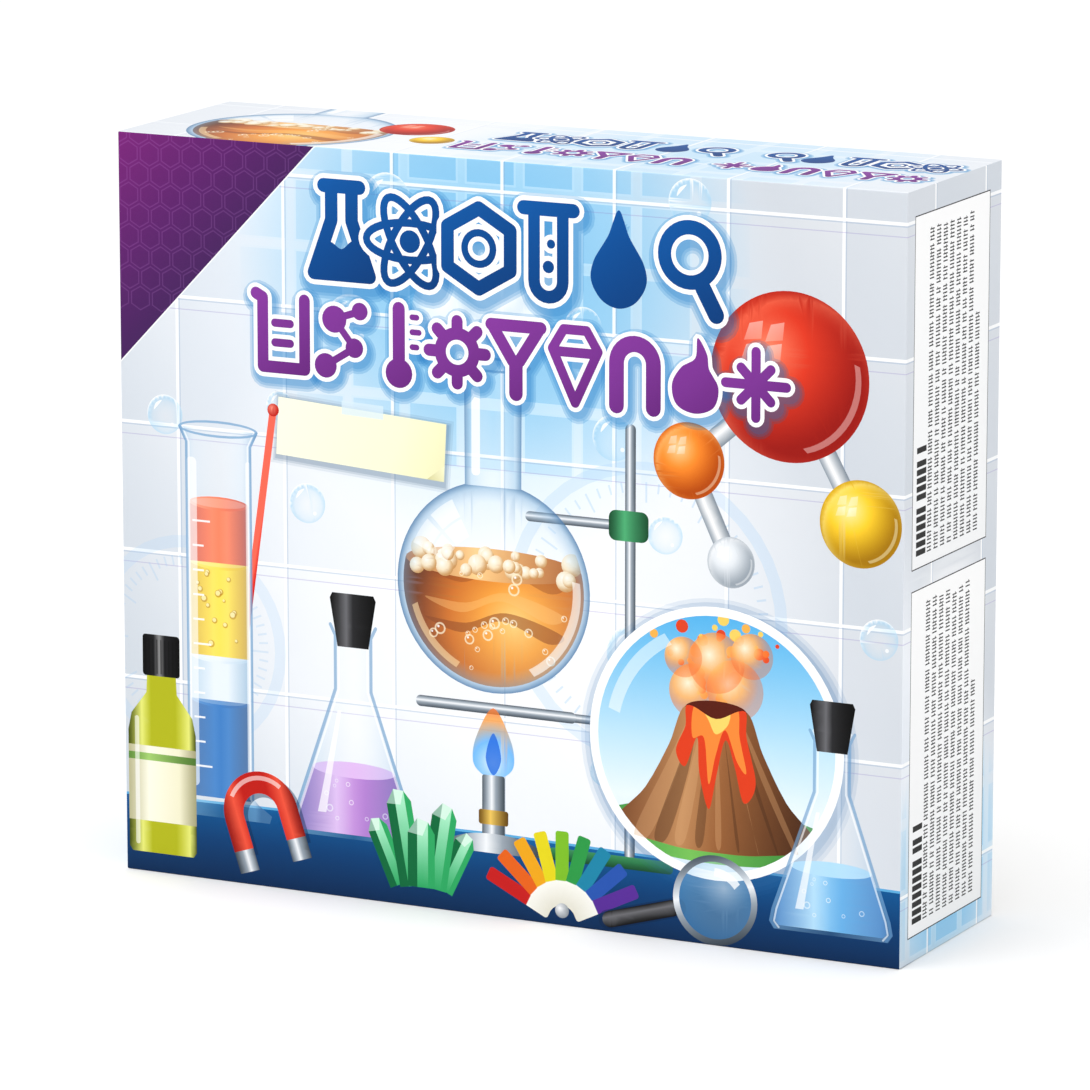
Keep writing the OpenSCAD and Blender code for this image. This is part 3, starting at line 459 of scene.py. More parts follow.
def boiling_flask(p, x, y):
    """A round flask of amber liquid, with foam on it and vapour over its mouth."""
    r, neck, top, level = 42, 12.5, 88, 9
    p.place(x, y)
    pick = random.Random(11)
    for px, py, pr in ((-4, 96, 17), (14, 104, 15), (-20, 108, 15), (2, 118, 19), (24, 122, 13),
                       (-16, 128, 13)):
        puff = around((px - 2, py + 3), pr, (0, "ffffff", 0.95), (0.55, "f6fafd", 0.85),
                      (0.85, "c8dcec", 0.45), (1, "c8dcec", 0))
        p.paint(ring(px, py, pr), puff, grain=3)
    body = arc(0, 0, r, 107, 433, 60)
    flask = body + [(neck, top - 4), (neck + 4, top), (-neck - 4, top), (-neck, top - 4)]
    inside = ring(0, 0, r - 2.6, steps=60)
    low = math.degrees(math.asin(level / (r - 2.6)))
    liquid = arc(0, 0, r - 2.6, 180 - low, 360 + low, 44)
    amber = around((9, -13), 46, (0, "ffd27a"), (0.3, "f6a03c"), (0.62, "cf6a20"), (0.86, "8a3d16"),
                   (1, "5a2711"))
    p.paint(liquid, amber, grain=3)
    half = math.sqrt((r - 2.6) ** 2 - level ** 2)
    for shift, colour, alpha in ((-14, "7a3413", 0.5), (-6, "ffc070", 0.4), (6, "7a3413", 0.35)):
        swirl = [(-30, 0), (-14, -5), (4, 1), (24, -6), (30, -2), (6, 4.5), (-12, -1)]
        p.paint(spline([(sx, shift + sy) for sx, sy in swirl]), flat(colour, alpha), within=liquid)
    p.paint(ring(0, level, half, 6.5), sideways(-half, half, (0, "b5622a"), (0.4, "ffcf8a"), (1, "a4501d")))
    for _ in range(34):
        fx, br = pick.uniform(-half + 4, half - 4), pick.uniform(1.8, 4.6)
        fy = level + pick.uniform(-3.5, 4.5)
        froth = around((fx - br * 0.3, fy + br * 0.35), br * 1.3, (0, "fffdf4"), (0.6, "f7e2bd"),
                       (1, "c98f4f"))
        p.paint(ring(fx, fy, br, steps=18), froth, within=inside)
    for _ in range(22):
        a, d, br = pick.uniform(0, 2 * math.pi), pick.uniform(0, 33), pick.uniform(0.9, 2.6)
        bx, by = d * math.cos(a), -14 + 0.62 * d * math.sin(a)
        hole = ring(bx, by, br * 0.7, steps=14)
        p.paint(ring(bx, by, br, steps=16), flat("fff1cf", 0.75), without=hole, within=liquid)
        p.paint(ring(bx - br * 0.3, by + br * 0.3, br * 0.22, steps=8), flat("ffffff", 0.9))
    round_wall = around((0, 0), r, (0, "ffffff", 0.02), (0.8, "bcd8ee", 0.12), (0.93, "8db4d6", 0.5),
                        (1, "4c78a4", 0.85))
    neck_wall = sideways(-neck, neck, (0, "5c86b0", 0.8), (0.12, "b7d4ea", 0.5), (0.5, "ffffff", 0.12),
                         (0.88, "a6c8e3", 0.5), (1, "4f7aa6", 0.8))
    upper = rect(-neck - 5, r - 2, neck + 5, top + 1)
    p.paint(flask, round_wall, without=upper, grain=4)
    p.paint(flask, neck_wall, within=upper)
    p.paint(ring(0, top, neck + 4, 3), flat("7fa9cf", 0.9), without=ring(0, top, neck + 2, 2))
    p.paint(rect(-neck * 0.75, r + 2, -neck * 0.45, top - 9, 1.6), flat("ffffff", 0.8))
    for u in (0, 1):
        for v in (0, 1):
            a0, a1 = 118 + 21 * u, 136 + 21 * u
            r0, r1 = 22 + 8.5 * v, 29.5 + 8.5 * v
            p.paint(arc(0, 0, r0, a0, a1, 6) + arc(0, 0, r1, a1, a0, 6), flat("ffffff", 0.55 - 0.12 * u))
    p.paint(arc(0, 0, 38, -62, 8, 20) + arc(-1.4, 0.8, 36, 8, -62, 20), flat("ffffff", 0.6))
    p.paint(arc(0, 0, 37, 196, 244, 12) + arc(1, 1, 35.6, 244, 196, 12), flat("ffe2ad", 0.55))


STEEL = ((0, "49545f"), (0.25, "aeb8c2"), (0.42, "f4f7fa"), (0.6, "9aa5b0"), (1, "3c464f"))


def burner_and_stand(p, x, y):
    """A gas burner, its flame, and the ring stand that holds a flask over it."""
    p.place(x, y)
    p.paint(rect(57, 4, 61.5, 176, 2), sideways(57, 61.5, *STEEL))
    p.paint(rect(24, 0, 78, 5, 2), upwards(5, 0, (0, "3f8f5c"), (0.4, "2d7a4a"), (1, "17492c")))
    p.paint(rect(14, 134, 60, 138, 2), upwards(138, 134, *STEEL))
    p.paint(rect(50, 130, 67, 142, 3), sideways(50, 67, (0, "17492c"), (0.4, "4fae74"), (1, "17492c")))
    p.paint(rect(34, 56, 60, 59.5, 1.5), upwards(59.5, 56, *STEEL))
    p.paint(rect(-34, 55.5, 36, 60, 2), upwards(60, 55.5, *STEEL))
    flame = spline([(0, 58), (7.5, 46), (9, 36), (5, 31), (0, 30), (-5, 31), (-9, 36), (-7.5, 46)])
    burning = around((0, 36), 22, (0, "e8f6ff", 0.95), (0.4, "5fb2ff", 0.85), (0.8, "ff9b3d", 0.8),
                     (1, "ff6a1f", 0.7))
    p.paint(flame, burning, grain=2)
    p.paint(spline([(0, 48), (3.4, 38), (0, 31), (-3.4, 38)]), flat("1d62d8", 0.75))
    p.paint(rect(-5, 6, 5, 31, 1), sideways(-5, 5, *STEEL))
    p.paint(rect(-6.5, 11, 6.5, 17, 1), sideways(-6.5, 6.5, (0, "6b4a12"), (0.4, "f0c860"), (1, "5e400e")))
    p.paint(spline([(-20, 0), (-20, 3.4), (-8, 7), (8, 7), (20, 3.4), (20, 0)]), sideways(-20, 20, *STEEL))


def volcano_roundel(p, x, y, r):
    """A white-edged round picture of a model volcano that foams over."""
    p.place(x, y)
    for grow, alpha in ((5, 0.10), (3.4, 0.14), (1.6, 0.18)):
        p.paint(ring(1.2, -1.6, r + grow, steps=64), flat("35659c", alpha))
    p.paint(ring(0, 0, r, steps=72), flat("ffffff"))
    view = ring(0, 0, r - 3.6, steps=72)
    p.paint(view, upwards(r, -r, (0, "4fb0ea"), (0.5, "bfe4f8"), (0.72, "eaf6fd"), (1, "d6e8f3")), grain=5)
    grass = sideways(-r, r, (0, "2f8a3f"), (0.4, "79c35a"), (1, "26742f"))
    p.paint(ring(0, -r * 0.66, r * 0.95, r * 0.22), grass, within=view)
    pick = random.Random(5)
    for _ in range(46):
        a, d = pick.uniform(52, 128), pick.uniform(6, 52)
        dx, dy = polar(d, a)
        spark = ring(dx * 0.9, 12 + dy * 0.72, pick.uniform(0.7, 2.8), steps=12)
        p.paint(spark, flat(pick.choice(["ff7a2a", "ffb347", "e8401c", "ffd35c"]), 0.95), within=view)
    for px, py, pr in ((-9, 20, 11), (8, 22, 12), (0, 32, 12), (-14, 33, 8), (15, 36, 9)):
        lit = around((px - 3, py + 3), pr * 1.1, (0, "fff3d6", 0.98), (0.5, "ffb566", 0.9),
                     (1, "f0602a", 0.35))
        p.paint(ring(px, py, pr), lit, grain=3, within=view)
    cone = spline([(-13, 14), (0, 10), (13, 14), (20, -2), (30, -20), (43, -36),
                   (20, -42), (0, -43), (-20, -42), (-43, -36), (-30, -20), (-20, -2)])
    rock = along((-38, 0), (38, -8), (0, "7b4a2b"), (0.35, "c08a5a"), (0.55, "9a6238"), (1, "4f2d18"))
    p.paint(cone, rock, within=view, grain=4)
    for k in range(9):
        a = -34 + 8.5 * k
        ridge = spline([(a * 0.33, 9), (a * 0.62, -10), (a * 1.02, -38), (a * 0.9 + 2.5, -39),
                        (a * 0.52 + 1.6, -12)])
        p.paint(ridge, flat("3f2413" if k % 2 else "dba877", 0.35), within=cone)
    p.paint(ring(0, 13.5, 13, 3.6), flat("5a1d10"))
    streams = (([(-12, 15), (0, 18), (12, 15), (13, 4), (17, -14), (12, -22), (8, -8), (4, 2), (0, -14),
                 (-3, -26), (-7, -12), (-8, 2), (-13, -10), (-17, -4), (-13, 6)], "e2401e"),
               ([(-9, 15), (0, 17), (9, 15), (10, 4), (13, -10), (9, -6), (4, 6), (0, -4), (-3, -16),
                 (-5, 2), (-10, 2)], "ff8b3a"),
               ([(-6, 15), (2, 16), (6, 14), (5, 8), (0, 4), (-3, 9)], "ffd76a"))
    for points, colour in streams:
        p.paint(spline(points), flat(colour), within=cone)
    p.paint(arc(0, 0, r - 7, 118, 168, 16) + arc(1.5, -1, r - 10.5, 168, 118, 16), flat("ffffff", 0.5))


def magnet(p, x, y, turn):
    p.place(x, y, 1, turn)
    bow = [*arc(0, 0, 17, 0, 180, 24), (-17, -14), (-8, -14), *arc(0, 0, 8, 180, 0, 18), (8, -14), (17, -14)]
    p.paint([(q[0] + 1.5, q[1] - 2) for q in bow], flat("06203f", 0.4))
    p.paint(bow, sideways(-17, 17, (0, "8e130e"), (0.18, "f2563e"), (0.34, "c21d15"),
                          (0.66, "c21d15"), (0.84, "f2563e"), (1, "7d0f0b")))
    for s in (-1, 1):
        p.paint(rect(min(8 * s, 17 * s), -22, max(8 * s, 17 * s), -13), sideways(8 * s, 17 * s, *STEEL))
    p.paint(arc(0, 0, 15.2, 35, 140, 14) + arc(0, 0, 13.4, 140, 35, 14), flat("ffffff", 0.6))


def crystals(p, x, y, colours):
    """A cluster of six-sided crystals."""
    dark, mid, light = colours
    stems = ((-12, 24, 24, 4.5), (12, -26, 22, 4.5), (-5, 10, 34, 5.5), (7, -9, 30, 5.5), (0, 0, 22, 6))
    for cx, lean, length, half in stems:
        p.place(x + cx * 0.8, y, 1, lean)
        tip, shoulder = (-half * 0.3, length + half), (half * 0.5, length + half * 0.8)
        p.paint([(-half, 0), (-half, length), tip, (-half * 0.3, 0)], flat(dark))
        p.paint([(-half * 0.3, 0), tip, shoulder, (half * 0.5, 0)], upwards(0, length, (0, mid), (1, light)))
        p.paint([(half * 0.5, 0), shoulder, (half, length), (half, 0)], flat(mid))
        p.paint([(-half, length), tip, shoulder, (half * 0.1, length - 1)], flat("ffffff", 0.55))


def bottle(p, x, y, dark, mid, light, cap):
    """A reagent bottle with a bare label."""
    p.place(x, y)
    half, neck = 15.5, 8.5
    body = turned([(14, 0), (half, 2), (half, 50), (14, 57), (7, 66), (6.5, 76)])
    full = sideways(-half, half, (0, dark), (0.2, light), (0.34, mid), (0.7, mid), (0.9, light), (1, dark))
    turned_cap = sideways(-neck, neck, (0, "050505"), (0.3, cap), (0.45, "8b8b8b"), (0.6, cap), (1, "050505"))
    paper = sideways(-half, half, (0, "b9b58c"), (0.3, "fdfbe6"), (0.75, "f4f0cf"), (1, "a39f78"))
    p.paint(body, full, grain=4)
    p.paint(rect(-neck, 73, neck, 90, 1.5), turned_cap)
    for k in range(9):
        p.paint(rect(-7.6 + k * 1.8, 74, -7 + k * 1.8, 88), flat("000000", 0.35))
    p.paint(rect(-half, 13, half, 44), paper)
    p.paint(rect(-half, 38, half, 41), sideways(-half, half, (0, "5d8a3a"), (0.3, "a5d070"), (1, "4d752f")))
    p.paint(rect(-12.5, 3, -10.5, 56, 1), flat("ffffff", 0.6))


def conical_flask(p, x, y, scale, colours):
    """A conical flask of coloured liquid. colours are the liquid's side, middle and surface."""
    side, mid, surface = colours
    p.place(x, y, scale)
    body = turned([(24, 0), (26, 3), (25, 8), (8, 56), (8, 76), (10, 80)])
    fill = turned([(22, 1.6), (24.2, 4), (23, 9), (17, 26)])
    p.paint(fill, sideways(-24, 24, (0, side), (0.35, surface), (0.6, mid), (1, side)), grain=4)
    p.paint(ring(0, 26, 17, 3), flat(surface))
    pick = random.Random(8)
    for _ in range(9):
        bx, by, br = pick.uniform(-13, 13), pick.uniform(7, 22), pick.uniform(0.6, 1.5)
        p.paint(ring(bx, by, br, steps=12), flat("ffffff", 0.6), without=ring(bx, by, br * 0.65, steps=12))
    walls = sideways(-26, 26, (0, "5c86b0", 0.7), (0.1, "a9cbe6", 0.45), (0.5, "ffffff", 0.12),
                     (0.9, "94b9da", 0.5), (1, "4f7aa6", 0.75))
    black = sideways(-9, 9, (0, "0c0c0c"), (0.35, "6a6a6e"), (0.5, "2a2a2c"), (1, "050505"))
    p.paint(body, walls, grain=5)
    glass_edge(p, [(24, 0.7), (26, 3), (25, 8), (8, 56), (8, 76), (10, 80)])
    p.paint([(-15, 9), (-11.5, 9), (-5, 48), (-6.5, 48)], flat("ffffff", 0.7))
    p.paint(turned([(6.4, 72), (9.5, 90), (8.5, 92)]), black)


def lens(p, x, y, turn):
    """A magnifying glass."""
    p.place(x, y, 1, turn)
    p.paint(stroke([(0, -17), (0, -48)], 8), flat("06203f", 0.35))
    handle = sideways(-3.3, 3.3, (0, "111111"), (0.35, "6f6f73"), (1, "0a0a0a"))
    pane = ring(0, 0, 15.4, steps=48)
    clear_blue = around((-4, 5), 22, (0, "ffffff", 0.55), (0.5, "bfe0f7", 0.35), (1, "5f9fd4", 0.55))
    p.paint(stroke([(0, -19), (0, -47)], 6.6), handle)
    p.paint(ring(0, 0, 18, steps=48), sideways(-18, 18, *STEEL), without=pane)
    p.paint(pane, clear_blue, grain=1.5)
    p.paint(arc(0, 0, 13, 110, 165, 12) + arc(0.8, -0.6, 10.6, 165, 110, 12), flat("ffffff", 0.8))


def colour_fan(p, x, y):
    """A fan of indicator colours."""
    colours = ("c81e1e", "e8641c", "f0a81c", "e8d820", "7fbf2a", "2f9a48", "1f86a8", "2a56b0", "5a2f98")
    for k, colour in enumerate(colours):
        p.place(x, y, 1, 64 - 16 * k)
        dipped = upwards(36, 6, (0, colour), (0.66, colour), (0.67, "fbfaf2"), (1, "e6e3d4"))
        p.paint(rect(-2.9, 6, 2.9, 36, 1.2), dipped)
    p.place(x, y)
    p.paint(ring(0, 4, 3), around((-1, 5), 4, (0, "ffffff"), (1, "8b939b")))


def note(p, x, y, turn):
    """A bare pale-yellow paper note with a strip of tape."""
    p.place(x, y, 1, turn)
    for grow, alpha in ((2.2, 0.1), (1.2, 0.16), (0.4, 0.2)):
        p.paint(rect(-37 - grow, -13.4 - grow, 38 + grow, 11 + grow), flat("49637f", alpha))
    p.paint([(-37, -12), (37.5, -11.4), (37, 11.6), (-37.4, 11)],
            along((-37, 12), (37, -12), (0, "fffee6"), (0.7, "fffdd6"), (1, "f3efbe")))
    p.paint([(30, -11.45), (37.5, -11.4), (37.3, -5)],
            along((30, -11), (37.5, -6), (0, "d8d39a"), (1, "fbf8cf")))
    p.paint([(-9, 8.4), (9.4, 9), (9, 14.4), (-9.4, 13.8)], flat("d9ecf7", 0.75))


# ---- bold pictograms for the title rows, each about 24 wide and 36 high round its origin.
# Each takes how far its ink is grown, so that the same shapes give the white edge and the shadow.
PEN = 5.0


def pens(e, *lines):
    """Strokes of (width, *points) lines."""
    return [stroke(points, width + 2 * e) for width, *points in lines]


def dots(e, *spots, steps=24):
    return [ring(x, y, r + e, steps=steps) for x, y, r in spots]


def hoop(e, x, y, r, width, steps=18):
    """A ring of two half strokes."""
    return [stroke(arc(x, y, r, a, a + 180, steps), width + 2 * e) for a in (0, 180)]


def pic_flask(e):
    wall = [(-4, 17), (-4, 5), (-11, -14), (11, -14), (4, 5), (4, 17)]
    liquid = spline([(-8, -12), (-5, -3), (0, -5), (5, -2), (8, -12)])
    return strokes([wall, [(-7, 17), (7, 17)]], PEN + 2 * e) + [grown(liquid, e)]


def pic_atom(e):
    orbits = []
    for turn in (0, 60, 120):
        c, s = polar(1, turn)
        for half in (0, 180):
            orbit = arc(0, 0, 17, half, half + 180, 18, 6.5)
            orbits.append([(x * c - y * s, x * s + y * c) for x, y in orbit])
    return pens(e, *[(PEN * 0.56, *orbit) for orbit in orbits]) + dots(e, (0, 0, 4))


def pic_ring(e):
    return strokes([[polar(14, a) for a in range(30, 391, 60)]], PEN + 2 * e) + hoop(e, 0, 0, 5.5, 2.6, 14)


def pic_tube(e):
    wall = [(-5.5, 15), (-5.5, -9), *arc(0, -9, 5.5, 180, 360, 12)[1:], (5.5, 15)]
    tube = pens(e, (PEN * 0.9, *wall), (PEN, (-9.5, 16), (9.5, 16)))
    return tube + dots(e, (0, -4, 2.2), (1, 4, 1.6), steps=16)


def pic_drop(e):
    left = [(-4, 9), (-9.5, 0), (-10.5, -7), (-6.5, -13.5), (0, -16)]
    right = [(6.5, -13.5), (10.5, -7), (9.5, 0), (4, 9), (0, 18)]
    return [grown(spline(left + right)[::-1], e)]


def pic_lens(e):
    return hoop(e, 0, 5, 9.5, PEN) + pens(e, (PEN * 1.2, (5, -6), (10, -15)))


def pic_beaker(e):
    walls = [(PEN, (-9.5, 14), (-9.5, -14)), (PEN, (9.5, 14), (9.5, -14)), (PEN, (-9.5, -14), (9.5, -14))]
    return pens(e, *walls, (PEN, (-12.5, 15.5), (-9.5, 14)), (3.4, (-4, 4), (3, 4)), (3.4, (-4, -4), (3, -4)))


def pic_molecule(e):
    spots = [(-7, -11, 5), (6, -3, 4), (-3, 8, 5.5), (8.5, 12, 3.6)]
    return pens(e, *[(3, a[:2], b[:2]) for a, b in zip(spots, spots[1:])]) + dots(e, *spots)


def pic_thermometer(e):
    ticks = [(2.4, (6, y), (x, y)) for x, y in ((8, 12), (9, 6), (8, 0))]
    return pens(e, (PEN * 1.1, (0, 15), (0, -8))) + dots(e, (0, -11, 6)) + pens(e, *ticks)


def pic_gear(e):
    teeth = [(5, polar(9, 45 * k), polar(12.5, 45 * k)) for k in range(8)]
    return pens(e, *teeth) + hoop(e, 0, 0, 7.5, PEN)


def pic_funnel(e):
    return pens(e, (PEN, (-11, 13), (11, 13)), (PEN, (-10, 12), (-1.5, -1)), (PEN, (10, 12), (1.5, -1)),
                (PEN * 1.2, (0, -2), (0, -14)))


def pic_crystal(e):
    gem = [(-10, 6), (-5, 14), (5, 14), (10, 6), (0, -15), (-10, 6)]
    return strokes([gem, [(-9, 5), (9, 5)]], PEN * 0.8 + 2 * e)


def pic_magnet(e):
    return pens(e, (PEN * 1.3, (-8, -14), (-8, 3), *arc(0, 3, 8, 180, 0, 16)[1:], (8, -14)))


def pic_flame(e):
    flame = [(0, -14), (8, -11), (10, -3), (6, 4), (5, 10), (1, 16), (0, 8), (-6, 4), (-10, -3), (-8, -11)]
    return [grown(spline(flame), e)]


def pic_spark(e):
    return pens(e, *[(PEN * 0.8, polar(2, 45 * k), polar(9 if k % 2 else 13, 45 * k)) for k in range(8)])


NAVY_ROW = (pic_flask, pic_atom, pic_ring, pic_tube, pic_drop, pic_lens)
PURPLE_ROW = (pic_beaker, pic_molecule, pic_thermometer, pic_gear, pic_funnel, pic_crystal, pic_magnet,
              pic_flame, pic_spark)


def pictograms(p, row, x, y, pitch, scale, colour, drop_per_step=0.0):
    """A row of pictograms with a white edge and a soft blue shadow."""
    edge = 1.7
    for shadow in (4.6, 3.6, 2.6):
        for k, pic in enumerate(row):
            p.place(x + k * pitch + 1.2 * scale, y - k * drop_per_step - 1.8 * scale, scale)
            p.paint(pic(shadow), flat("1a6fb8", 0.2))
    for k, pic in enumerate(row):
        p.place(x + k * pitch, y - k * drop_per_step, scale)
        p.paint(pic(edge), flat("ffffff"))
        p.paint(pic(0), along((-14, 18), (14, -18), *colour))


NAVY = ((0, "0b5aa8"), (0.5, "04498f"), (1, "033a78"))
PURPLE = ((0, "8a3aa0"), (0.5, "7b3391"), (1, "652478"))


def corner_flash(p, reach_x, reach_y, top):
    """A bare purple corner with a tone-on-tone honeycomb."""
    p.place()
    corner = [(0, top), (0, top - reach_y), (reach_x, top)]
    p.paint(corner, along((0, top), (reach_x * 0.5, top - reach_y * 0.5),
                          (0, "7a2277"), (0.6, "5c2069"), (1, "47215c")))
    cell = 9.5
    for i in range(10):
        for j in range(9):
            cx, cy = cell * (i + 0.5 * (j % 2)), top - cell * 0.87 * j
            hexagon = [(cx + dx, cy + dy) for dx, dy in (polar(5, a) for a in range(30, 390, 60))]
            inner = [(cx + (px - cx) * 0.88, cy + (py - cy) * 0.88) for px, py in hexagon]
            p.paint(hexagon, flat("c890d8", 0.16), without=inner, within=corner)
    edge = [(0, top - reach_y - 0.8), (0, top - reach_y), (reach_x, top), (reach_x + 0.8, top)]
    p.paint(edge, flat("ffffff", 0.8))


def bench(p, w, height):
    """The navy bench along the bottom, with its lit front edge."""
    p.place()
    p.paint([(0, 0), (w, 0), (w, height - 3), (w * 0.5, height), (0, height - 2)],
            upwards(height, 0, (0, "1467a8"), (0.12, "0d5591"), (0.5, "0a3f74"), (1, "0a2c55")), grain=6)
    edge = [(0, height - 3), (w * 0.5, height - 1), (w, height - 4),
            (w, height - 3), (w * 0.5, height), (0, height - 2)]
    p.paint(edge, flat("6fc0ee", 0.8))


def front_print(w, h):
    p = Print("print_front", w, h, 5)
    wall(p, w, h, (165, 262), 120, 1)
    dial(p, 232, 128, 60, 0.28)
    dial(p, 30, 96, 44, 0.22)
    for x, y, r in ((104, 232, 11), (218, 196, 9), (240, 160, 7.5), (84, 158, 8), (72, 196, 6),
                    (226, 112, 11), (120, 282, 10), (250, 290, 9), (330, 128, 8), (214, 64, 6),
                    (205, 238, 8), (20, 188, 8)):
        bubble(p, x, y, r)
    bench(p, w, 34)
    note(p, 108, 186, -4)
    graduated_cylinder(p, 44, 26)
    burner_and_stand(p, 166, 26)
    boiling_flask(p, 166, 132)
    conical_flask(p, 104, 24, 1.08, ("6a2f96", "a765c8", "e0b4f0"))
    p.place()
    for a, b in (((292, 226), (250, 190)), ((292, 226), (322, 172)), ((250, 190), (268, 152))):
        side = (b[1] - a[1], a[0] - b[0])
        norm = math.hypot(*side)
        q = (a[0] + side[0] / norm * 4, a[1] + side[1] / norm * 4)
        rod = along(q, (2 * a[0] - q[0], 2 * a[1] - q[1]), (0, "8b97a3"), (0.4, "ffffff"), (1, "7c8894"))
        p.paint(stroke([a, b], 8, False), rod)
    ball(p, 268, 152, 10, "9aa4ae", "e6ebf0", "ffffff")
    ball(p, 250, 190, 15, "b84a08", "ff8f2e", "ffd29a")
    ball(p, 322, 172, 17, "a8780a", "ffd02e", "fff0b0")
    ball(p, 292, 226, 33, "9c1710", "e23a22", "ff8a6a")
    volcano_roundel(p, 262, 80, 54)
    pictograms(p, NAVY_ROW, 100, 266, 30, 1.12, NAVY, 0.4)
    pictograms(p, PURPLE_ROW, 74, 225, 25.5, 0.98, PURPLE, 0.4)
    corner_flash(p, 88, 92, h)
    conical_flask(p, 311, 10, 1.0, ("1b5fb0", "49a0e2", "a9dcfa"))
    bottle(p, 17, 8, "3f4a08", "b5b81e", "e9ec7a", "1d1d1f")
    magnet(p, 62, 30, 18)
    crystals(p, 134, 8, ("0f6a3c", "2fa862", "a8ecc4"))
    colour_fan(p, 196, 2)
    lens(p, 262, 18, -74)
    return p


def blank_line(pick, x0, x1, y0, y1, pen, ties):
    """A line of words without letters: bars from x0 to x1, some tied in twos and threes, up from y0 to y1."""
    marks, y = [], y0
    while y < y1 - 4 * pen:
        for _ in range(min(pick.randint(2, 11), int((y1 - y) / (2.5 * pen)))):
            marks.append(rect(x0, y, x1, y + pen))
            if pick.random() < ties:
                x = x0 + (x1 - x0) * pick.choice((0.22, 0.66))
                marks.append(rect(x, y + pen / 2, x + pen, y + 2 * pen))
            y += pen * (pick.uniform(2.2, 2.8) if ties else 1.4)
        y += (2.2 if ties else 0.9) * pen
    return marks


def side_print(name, w, h, panels):
    """A narrow side: tiles, and two framed panels of plain bars where a side has panels."""
    p = Print(name, w, h, 6)
    wall(p, w, h, (w * 0.5, h * 0.1), 60, 7)
    pick = random.Random(21)
    if not panels:
        pictograms(p, NAVY_ROW[:5], w / 2 - 18, 262, 0, 0.95, NAVY, 52)
        pictograms(p, PURPLE_ROW[:5], w / 2 + 20, 236, 0, 0.95, PURPLE, 52)
        return p
    x0, x1 = w * 0.08, w * 0.88
    wide = x1 - x0
    for y0, y1 in ((10, 146), (154, 290)):
        p.place()
        p.paint(rect(x0, y0, x1, y1), flat("1a1a1a"))
        p.paint(rect(x0 + 0.45, y0 + 0.45, x1 - 0.45, y1 - 0.45),
                upwards(y0, y1, (0, "f3f4f5"), (1, "fbfbfb")))
        top = y0 + pick.uniform(50, 60)
        p.paint(blank_line(pick, x0 + 0.055 * wide, x0 + 0.18 * wide, y0 + 5, top, 2.3, 0), flat("141414"))
        for k in range(8):
            x = x0 + (0.226 + 0.0885 * k) * wide
            p.paint(blank_line(pick, x - 2, x + 2, y0 + 5, y1 - 5 if k < 7 else y0 + 92, 0.55, 0.85),
                    flat("1c1c1c"))
    return p


def bottom_print(w, h):
    p = Print("print_bottom", w, h, 6)
    wall(p, w, h, (w * 0.5, h), 90, 9)
    p.paint([(0, h - 14), (w, h - 14), (w, h), (0, h)],
            upwards(h, h - 14, (0, "0a2c55"), (0.7, "0d4680"), (1, "1467a8")))
    pictograms(p, NAVY_ROW + PURPLE_ROW[:3], 62, 40, 27, 0.8, NAVY)
    return p


def top_print(w, h):
    p = Print("print_top", w, h, 6)
    wall(p, w, h, (232, 40), 110, 4)
    # painted light: a pale wash over the top's tiles, so that the top looks lighter, as if lit from above
    p.paint(p.sheet, flat("f2f5fa", 0.62))
    boiling_flask(p, 60, 34)
    ball(p, 104, 56, 15, "9c1710", "e23a22", "ff8a6a")
    ball(p, 122, 34, 9, "a8780a", "ffd02e", "fff0b0")
    pictograms(p, NAVY_ROW, 150, 58, 16.5, 0.62, NAVY)
    pictograms(p, PURPLE_ROW[:7], 142, 30, 14.5, 0.56, PURPLE)
    pictograms(p, NAVY_ROW[::-1][:5], 262, 58, 16, 0.62, NAVY)
    pictograms(p, PURPLE_ROW[::-1][:6], 254, 30, 14.5, 0.56, PURPLE)
    return p

# ---------------------------------------------------------------- materials


def material(name, base=(0.8, 0.8, 0.8), **settings):
    """A Principled material. Settings are its sockets' names with _ for a space."""
    m = bpy.data.materials.new(name)
    m.use_nodes = True
    shader = m.node_tree.nodes["Principled BSDF"]
    shader.inputs["Base Color"].default_value = (*base, 1)
    for key, value in settings.items():
        shader.inputs[key.replace("_", " ").title().replace("Ior", "IOR")].default_value = value
    return m, m.node_tree, shader


def link(tree, a, a_out, b, b_in):
    tree.links.new(a.outputs[a_out], b.inputs[b_in])


def bumped(tree, shader, source, out, strength, distance):
    """The source's output as the surface's height."""
    bump = tree.nodes.new("ShaderNodeBump")
    bump.inputs["Strength"].default_value = strength
    bump.inputs["Distance"].default_value = distance
    link(tree, source, out, bump, "Height")
    link(tree, bump, "Normal", shader, "Normal")


def uneven(tree, shader, scale, strength, distance, detail=3.0):
    """Fine unevenness from noise in object space."""
    place = tree.nodes.new("ShaderNodeTexCoord")
    noise = tree.nodes.new("ShaderNodeTexNoise")
    noise.inputs["Scale"].default_value = scale
    noise.inputs["Detail"].default_value = detail
    link(tree, place, "Object", noise, "Vector")
    bumped(tree, shader, noise, "Fac", strength, distance)
    return noise


def tinted(tree, shader, source, out, dark, light, low=0.0, high=1.0):
    """The source's output from low to high as a colour from dark to light."""
    ramp = tree.nodes.new("ShaderNodeValToRGB")
    for stop, at, colour in zip(ramp.color_ramp.elements, (low, high), (dark, light)):
        stop.position, stop.color = at, (*colour, 1)
    link(tree, source, out, ramp, "Fac")
    link(tree, ramp, "Color", shader, "Base Color")


def print_material():
    """The printed wrap: the colours of the mesh under a gloss film that follows the board's slight waves."""
    m, tree, shader = material("printed_wrap", roughness=0.42, specular_ior_level=0.08)
    colours = tree.nodes.new("ShaderNodeVertexColor")
    colours.layer_name = "print"
    link(tree, colours, "Color", shader, "Base Color")
    uneven(tree, shader, 22, 0.12, 0.0006, 2.0)
    return m


